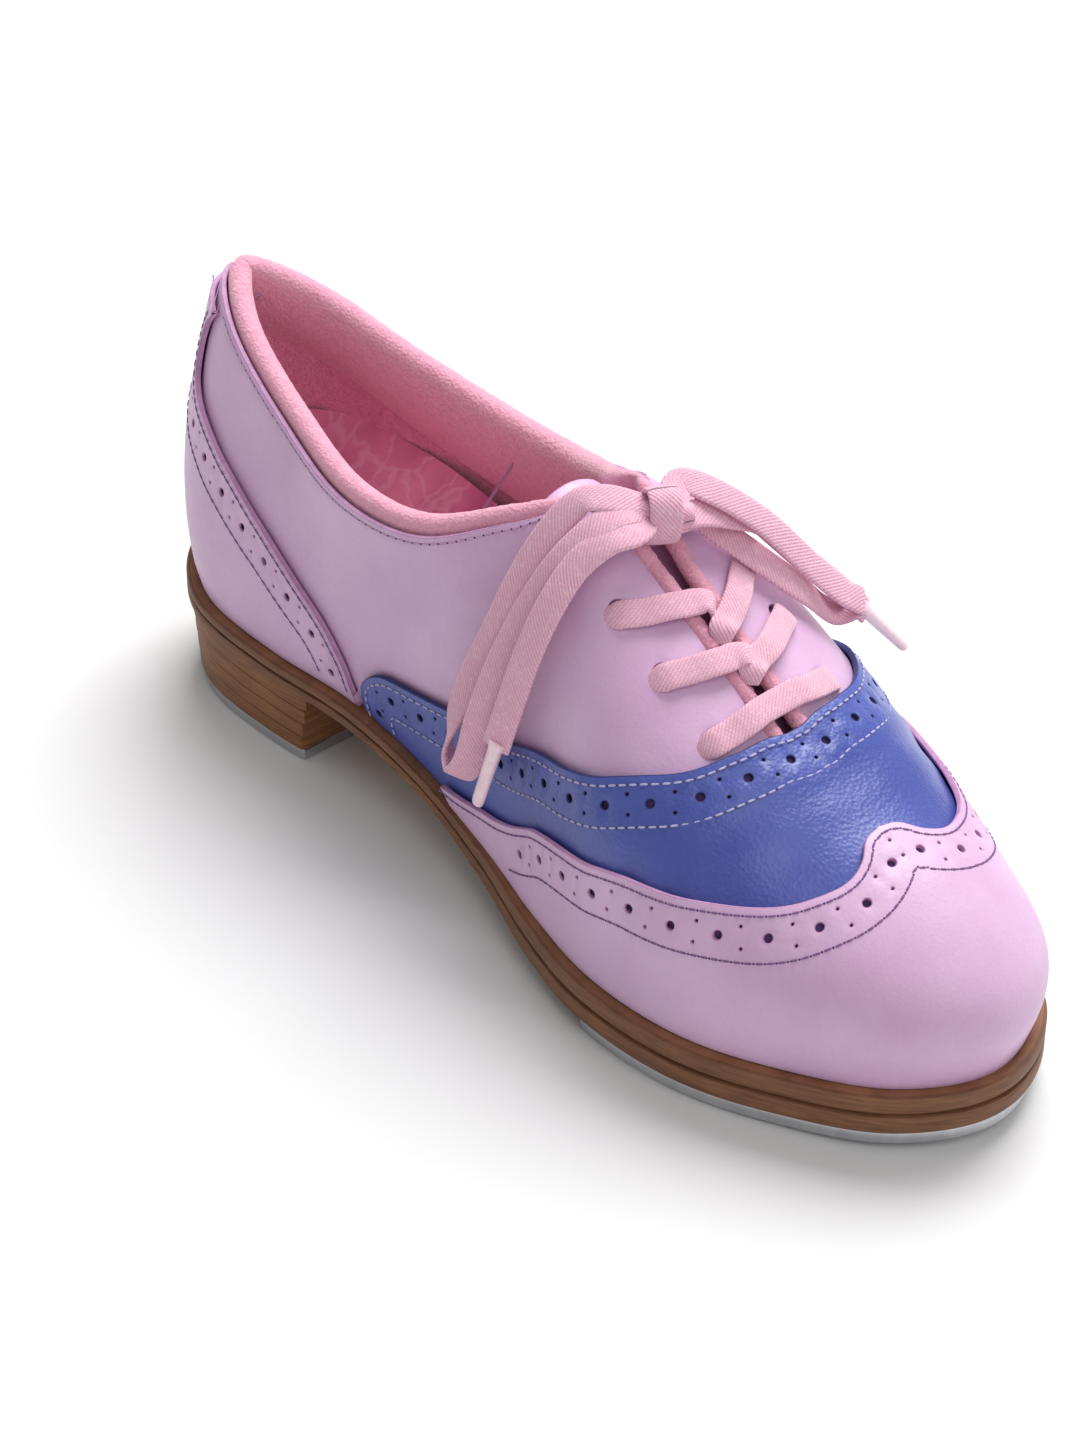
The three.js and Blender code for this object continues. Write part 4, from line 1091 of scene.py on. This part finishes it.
slab("toe_tap_plate", trimmed(outline(sole_edge(1)), 172), over(tap_bottom),
     over(tap_bottom, TAP_THICKNESS), [STEEL], "steel", ["toe_tap"],
     [ring(x, y, SCREW_HOLE) for x, y in TOE_SCREWS], body="forefoot")
slab("heel_tap_plate", trimmed(outline(sole_edge(-0.6)), BEHIND_HEEL, 59), over(ground),
     over(ground, TAP_THICKNESS), [STEEL], "steel", ["heel_tap"],
     [ring(x, y, SCREW_HOLE) for x, y in HEEL_SCREWS], body="rear", step=6)


def screw(name, x, y, body):
    """A countersunk screw with a crossed slot in its head."""
    base = float(tap_bottom(np.array(x))) if body == "forefoot" else 0.0
    head, slot = ring(0, 0, SCREW_HEAD, 32), 0.42
    cross = np.array([(1.4, slot), (slot, slot), (slot, 1.4), (-slot, 1.4), (-slot, slot),
                      (-1.4, slot), (-1.4, -slot), (-slot, -slot), (-slot, -1.4),
                      (slot, -1.4), (slot, -slot), (1.4, -slot)])

    def at(points, h):
        r = np.minimum(np.linalg.norm(points, axis=1) / SCREW_HEAD, 1)
        shrink = mix(1.0, 0.62, h)
        z = base + mix(0.75 - 0.12 * (1 - r * r), 3.0, h)
        return np.stack([x + points[:, 0] * shrink, y + points[:, 1] * shrink, z + 0 * r], -1)
    # The floor of the crossed slot takes the dark painted shade.
    obj = cut(f"{name}_head", head, [cross], at, [STEEL, STEEL, HOLE_SHADE], rounding=0.15, step=1,
              floor=2)
    settle(obj, "steel", name, body=body)


for i, (x, y) in enumerate(TOE_SCREWS):
    screw(f"toe_tap_screw_{i + 1}", x, y, "forefoot")
for i, (x, y) in enumerate(HEEL_SCREWS):
    screw(f"heel_tap_screw_{i + 1}", x, y, "rear")
for name in ("toe_puff", "heel_stiffener"):
    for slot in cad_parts[name].material_slots:
        slot.material = BOARD

# ---- Laces ----
WIDE, NARROW, THICK = 6.7, 6.1, 1.5


def ribbon(name, points, normals, width=WIDE, thick=THICK, step=0.7, taper=None, endless=False):
    """A flat woven lace along points, its broad face along the normals."""
    line = smooth_line(np.hstack([points, normals]), step)
    if endless:
        line = line[:-1]
    p, n = line[:, :3], line[:, 3:]
    along = (np.roll(p, -1, 0) - np.roll(p, 1, 0)) if endless else np.gradient(p, axis=0)
    along = unit(along)
    side = unit(np.cross(along, n))
    n = np.cross(side, along)
    run = travelled(p)
    a = circle(24)
    c, s = np.cos(a), np.sin(a)
    sx = np.sign(c) * np.abs(c) ** 0.75 * width / 2
    sy = np.sign(s) * np.abs(s) ** 0.6 * thick / 2
    size = np.ones(len(p)) if taper is None else np.interp(
        run, [0, taper, run[-1] - taper, run[-1]], [0.55, 1, 1, 0.55])
    height = np.broadcast_to(sy, (len(p), len(a)))
    rings = (p[:, None] + side[:, None] * (sx * size[:, None])[..., None]
             + n[:, None] * height[..., None])
    uv = np.stack([np.broadcast_to(run[:, None], height.shape),
                   np.broadcast_to(sx, height.shape)], -1)
    return tube(name, rings, [LACE], uv=uv, endless=endless), p


def tie(node, points, normals):
    """A piece of lace that stays where it is laid."""
    settle(ribbon(f"{node}_cloth", points, normals, NARROW, taper=3)[0], "lace_cotton", node)


def over_facing(index, side, end_station, count=9, crossing=0):
    """A lace that comes out of an eyelet and lies over the facing to the slot."""
    station, rise = EYELETS[index]
    t = np.linspace(-0.16, 1, count)
    s, f = mix(station, end_station, t), mix(rise - 0.02, 0.98, t)
    u = s if side < 0 else AROUND - s
    lift = mix(0.3, 1.6, smoothstep(0.3, 0.75, t)) + THICK / 2 + 0.3
    lift = np.where(t < -0.1, -0.8, np.where(t < 0.0, 0.5, lift))
    points, normals = skin(u, f, lift), last_normal(u, f)
    if crossing:
        x, z = points[-1, 0], points[-1, 2]
        tail = [(x + 1.5, -side * 0.8 * crossing, z - 0.2),
                (x + 2.6, -side * 2.2 * crossing, z - 3.2)]
        points = np.concatenate([points, tail])
        normals = np.concatenate([normals, [(0.4, -side * 0.2, 1), (0.5, -side * 0.9, 0.6)]])
    return points, normals


bar_inner, bar_outer = over_facing(0, -1, 9.5), over_facing(0, 1, 9.5)
points = np.concatenate([bar_inner[0][:-1], bar_outer[0][:-1][::-1]])
normals = np.concatenate([bar_inner[1][:-1], bar_outer[1][:-1][::-1]])
tie("lace_bar", points, normals)
for index, inner, outer in ((1, 8.98, 9.1), (2, 8.4, 8.66)):
    for side, end, word in ((-1, inner, "medial"), (1, outer, "lateral")):
        points, normals = over_facing(index, side, end, crossing=1 if side > 0 else 0.2)
        tie(f"lace_strap_{word}_{index + 1}", points, normals)
for side, word in ((-1, "medial"), (1, "lateral")):
    u0 = 7.02 if side < 0 else AROUND - 7.02
    spots = skin(np.full(3, u0), np.array([0.765, 0.79, 0.86]), np.array([-0.6, 1.3, 2.3]))
    normal = last_normal(u0, 0.81)
    points = np.concatenate([spots, [(143, side * 9.5, 97.2), (145.5, side * 6.6, 98.6),
                                     (146.5, side * 2, 99.3)]])
    normals = np.array([normal] * 3 + [(0.2, 0, 1)] * 3)
    tie(f"lace_strand_{word}", points, normals)

# The knot: a wrap of lace round a small bundle that lies across the shoe.
KNOT = np.array([147, 0, 99.6])
ACROSS = np.array([0.6, 0.8, 0.0])
FORWARD = np.array([0.8, -0.6, 0.0])
turn = np.linspace(0, 2 * np.pi, 17)[:, None]
UP = np.array([0, 0, 1.0])
wrap_points = KNOT + 4.4 * np.sin(turn) * FORWARD + 5.7 * np.cos(turn) * UP + 0.9 * np.sin(
    turn + 0.6) * ACROSS
wrap_normals = np.sin(turn) * FORWARD + np.cos(turn) * UP
knot = ribbon("lace_knot_wrap", wrap_points, wrap_normals, 7, 1.7, endless=True)[0]
settle(knot, "lace_cotton", "lace_knot")
reach = np.linspace(-7, 7, 25)[:, None]
a = circle(24)
size = 3.6 * np.sqrt(np.clip(1 - (reach / 8.4) ** 2, 0.05, 1)) * (1 + 0.07 * np.sin(3 * a + reach))
rings = (KNOT + reach * ACROSS)[:, None] + (size * np.cos(a))[..., None] * FORWARD + (
    size * np.sin(a))[..., None] * UP * 0.95
uv = np.stack([np.broadcast_to(reach, size.shape), np.broadcast_to(a * 4, size.shape)], -1)
settle(tube("lace_knot_bundle", rings, [LACE], uv=uv), "lace_cotton")

# Free laces: two loops and two ends, along the routes of the CAD model.
CORDS = {
    "bow_loop_medial": [(140.6, -8.6, 104.2), (136, -12.5, 103), (133, -19, 95.5),
                        (130.5, -24, 86), (128, -28.6, 74), (123.8, -31.6, 61),
                        (120.5, -33.8, 50), (121.5, -36.5, 42), (126, -38.2, 39.5),
                        (130, -38.3, 45), (131.3, -36, 57), (132.8, -30.8, 70.5),
                        (136, -26, 83.2), (139.8, -21.5, 93.4), (142.6, -15.5, 99.9),
                        (144.2, -9.5, 102.2)],
    "lace_end_medial": [(149, -9, 100.2), (147, -14.5, 99.4), (144.2, -20.5, 94.8),
                        (143, -26.3, 87.5), (141.4, -31.2, 76.8), (139.9, -34.8, 64.8),
                        (138.6, -38, 53.5)],
    "bow_loop_lateral": [(143.8, 8.6, 102.6), (149.6, 12.6, 101.4), (156.4, 20.6, 94),
                         (162.8, 28.2, 83.6), (168, 34.5, 75.5), (169.8, 38.6, 71.8),
                         (165.8, 34.4, 69.4), (164.3, 26, 78), (159, 19.3, 85.3),
                         (152.2, 13.8, 91.4), (147.6, 10.4, 94.8)],
    "lace_end_lateral": [(150.8, 8.6, 98.2), (152.2, 15.2, 95.3), (153.2, 24, 89.8),
                         (159.5, 31.3, 80.8), (164.6, 37.9, 72.8), (167.3, 42.5, 66.8)],
}
# Which way the broad face of each lace looks along its route.
TOP, SIDE, BROAD = (0.3, -0.25, 0.92), (0.25, -0.75, 0.6), (0.4, -0.15, 0.9)
BENEATH = (-0.4, 0.15, -0.9)
FACING = {
    "bow_loop_medial": [TOP, TOP, *[SIDE] * 4, (-0.3, -0.9, 0.1), (-0.7, -0.6, -0.4),
                        (0, -0.6, -0.8), (0.5, -0.85, 0), *[SIDE] * 4, TOP, TOP],
    "lace_end_medial": [TOP, TOP, *[SIDE] * 5],
    "bow_loop_lateral": [*[BROAD] * 4, (0.65, 0.1, 0.75), (0.6, 0.7, -0.3), *[BENEATH] * 5],
    "lace_end_lateral": [BROAD] * 6,
}


def aglet(name, tip, along, node):
    """The plastic tip of a lace, crimped onto its end."""
    along = along / np.linalg.norm(along)
    side = np.cross((0, 0, 1.0), along)
    side /= np.linalg.norm(side)
    up = np.cross(along, side)
    profile = [(-1.5, 2.2), (-1.2, 2.35), (0, 2.35), (0.4, 2.1), (13.6, 1.75), (14.4, 1.5),
               (14.7, 0.9)]
    a = circle(24)
    rings = [tip + along * d + r * (np.cos(a)[:, None] * side + 0.72 * np.sin(a)[:, None] * up)
             for d, r in profile]
    return settle(tube(name, np.array(rings), [AGLET]), "aglet_plastic", node)


for name, route in CORDS.items():
    tucked = KNOT + ACROSS * np.sign(route[0][1]) * 2.5
    route, looks = list(route), list(FACING[name])
    route.insert(0, tuple(tucked + UP * 0.35 * (route[0][2] - KNOT[2])))
    looks.insert(0, looks[0])
    if name.startswith("bow"):
        route.append(tuple(tucked + UP * 0.35 * (route[-1][2] - KNOT[2])))
        looks.append(looks[-1])
    obj, path = ribbon(f"{name}_cloth", np.array(route, float), np.array(looks, float))
    settle(obj, "lace_cotton", name)
    length = float(np.linalg.norm(np.diff(path, axis=0), axis=1).sum()) / 1000
    extra = []
    if name.startswith("lace_end"):
        word = name.rsplit("_", 1)[1]
        extra = [aglet(f"aglet_{word}_tip", path[-1], path[-1] - path[-4], f"aglet_{word}")]
    tuple(metres(path[0]))
    [tuple(p) for p in metres(path[::4])] + [tuple(metres(path[-1]))]

# ---- Stage ----
floor_mesh = bpy.data.meshes.new("floor")
floor_mesh.from_pydata([(-3, -3, 0), (3, -3, 0), (3, 3, 0), (-3, 3, 0)], [], [(0, 1, 2, 3)])
floor = bpy.data.objects.new("floor", floor_mesh)
paper = Shader("paper", Roughness=0.9, Specular_IOR_Level=0.1)
paper.surface.inputs["Base Color"].default_value = linear(232, 232, 232)
floor_mesh.materials.append(paper.material)
bpy.context.collection.objects.link(floor)

world = bpy.data.worlds.new("studio")
world.use_nodes = True
world.node_tree.nodes["Background"].inputs["Color"].default_value = (1, 1, 1, 1)
world.node_tree.nodes["Background"].inputs["Strength"].default_value = 0.36
bpy.context.scene.world = world


def area_light(name, place, size, power):
    data = bpy.data.lights.new(name, "AREA")
    data.energy, data.size = power, size
    light = bpy.data.objects.new(name, data)
    light.location = place
    aim = Vector((0, 0, 0.04)) - Vector(place)
    light.rotation_euler = aim.to_track_quat("-Z", "Y").to_euler()
    bpy.context.collection.objects.link(light)


area_light("key", (-0.35, 0.75, 1.35), 1.1, 33)
area_light("fill", (0.9, -0.2, 1.0), 0.9, 4.5)
bpy.context.scene.view_settings.view_transform = "Standard"
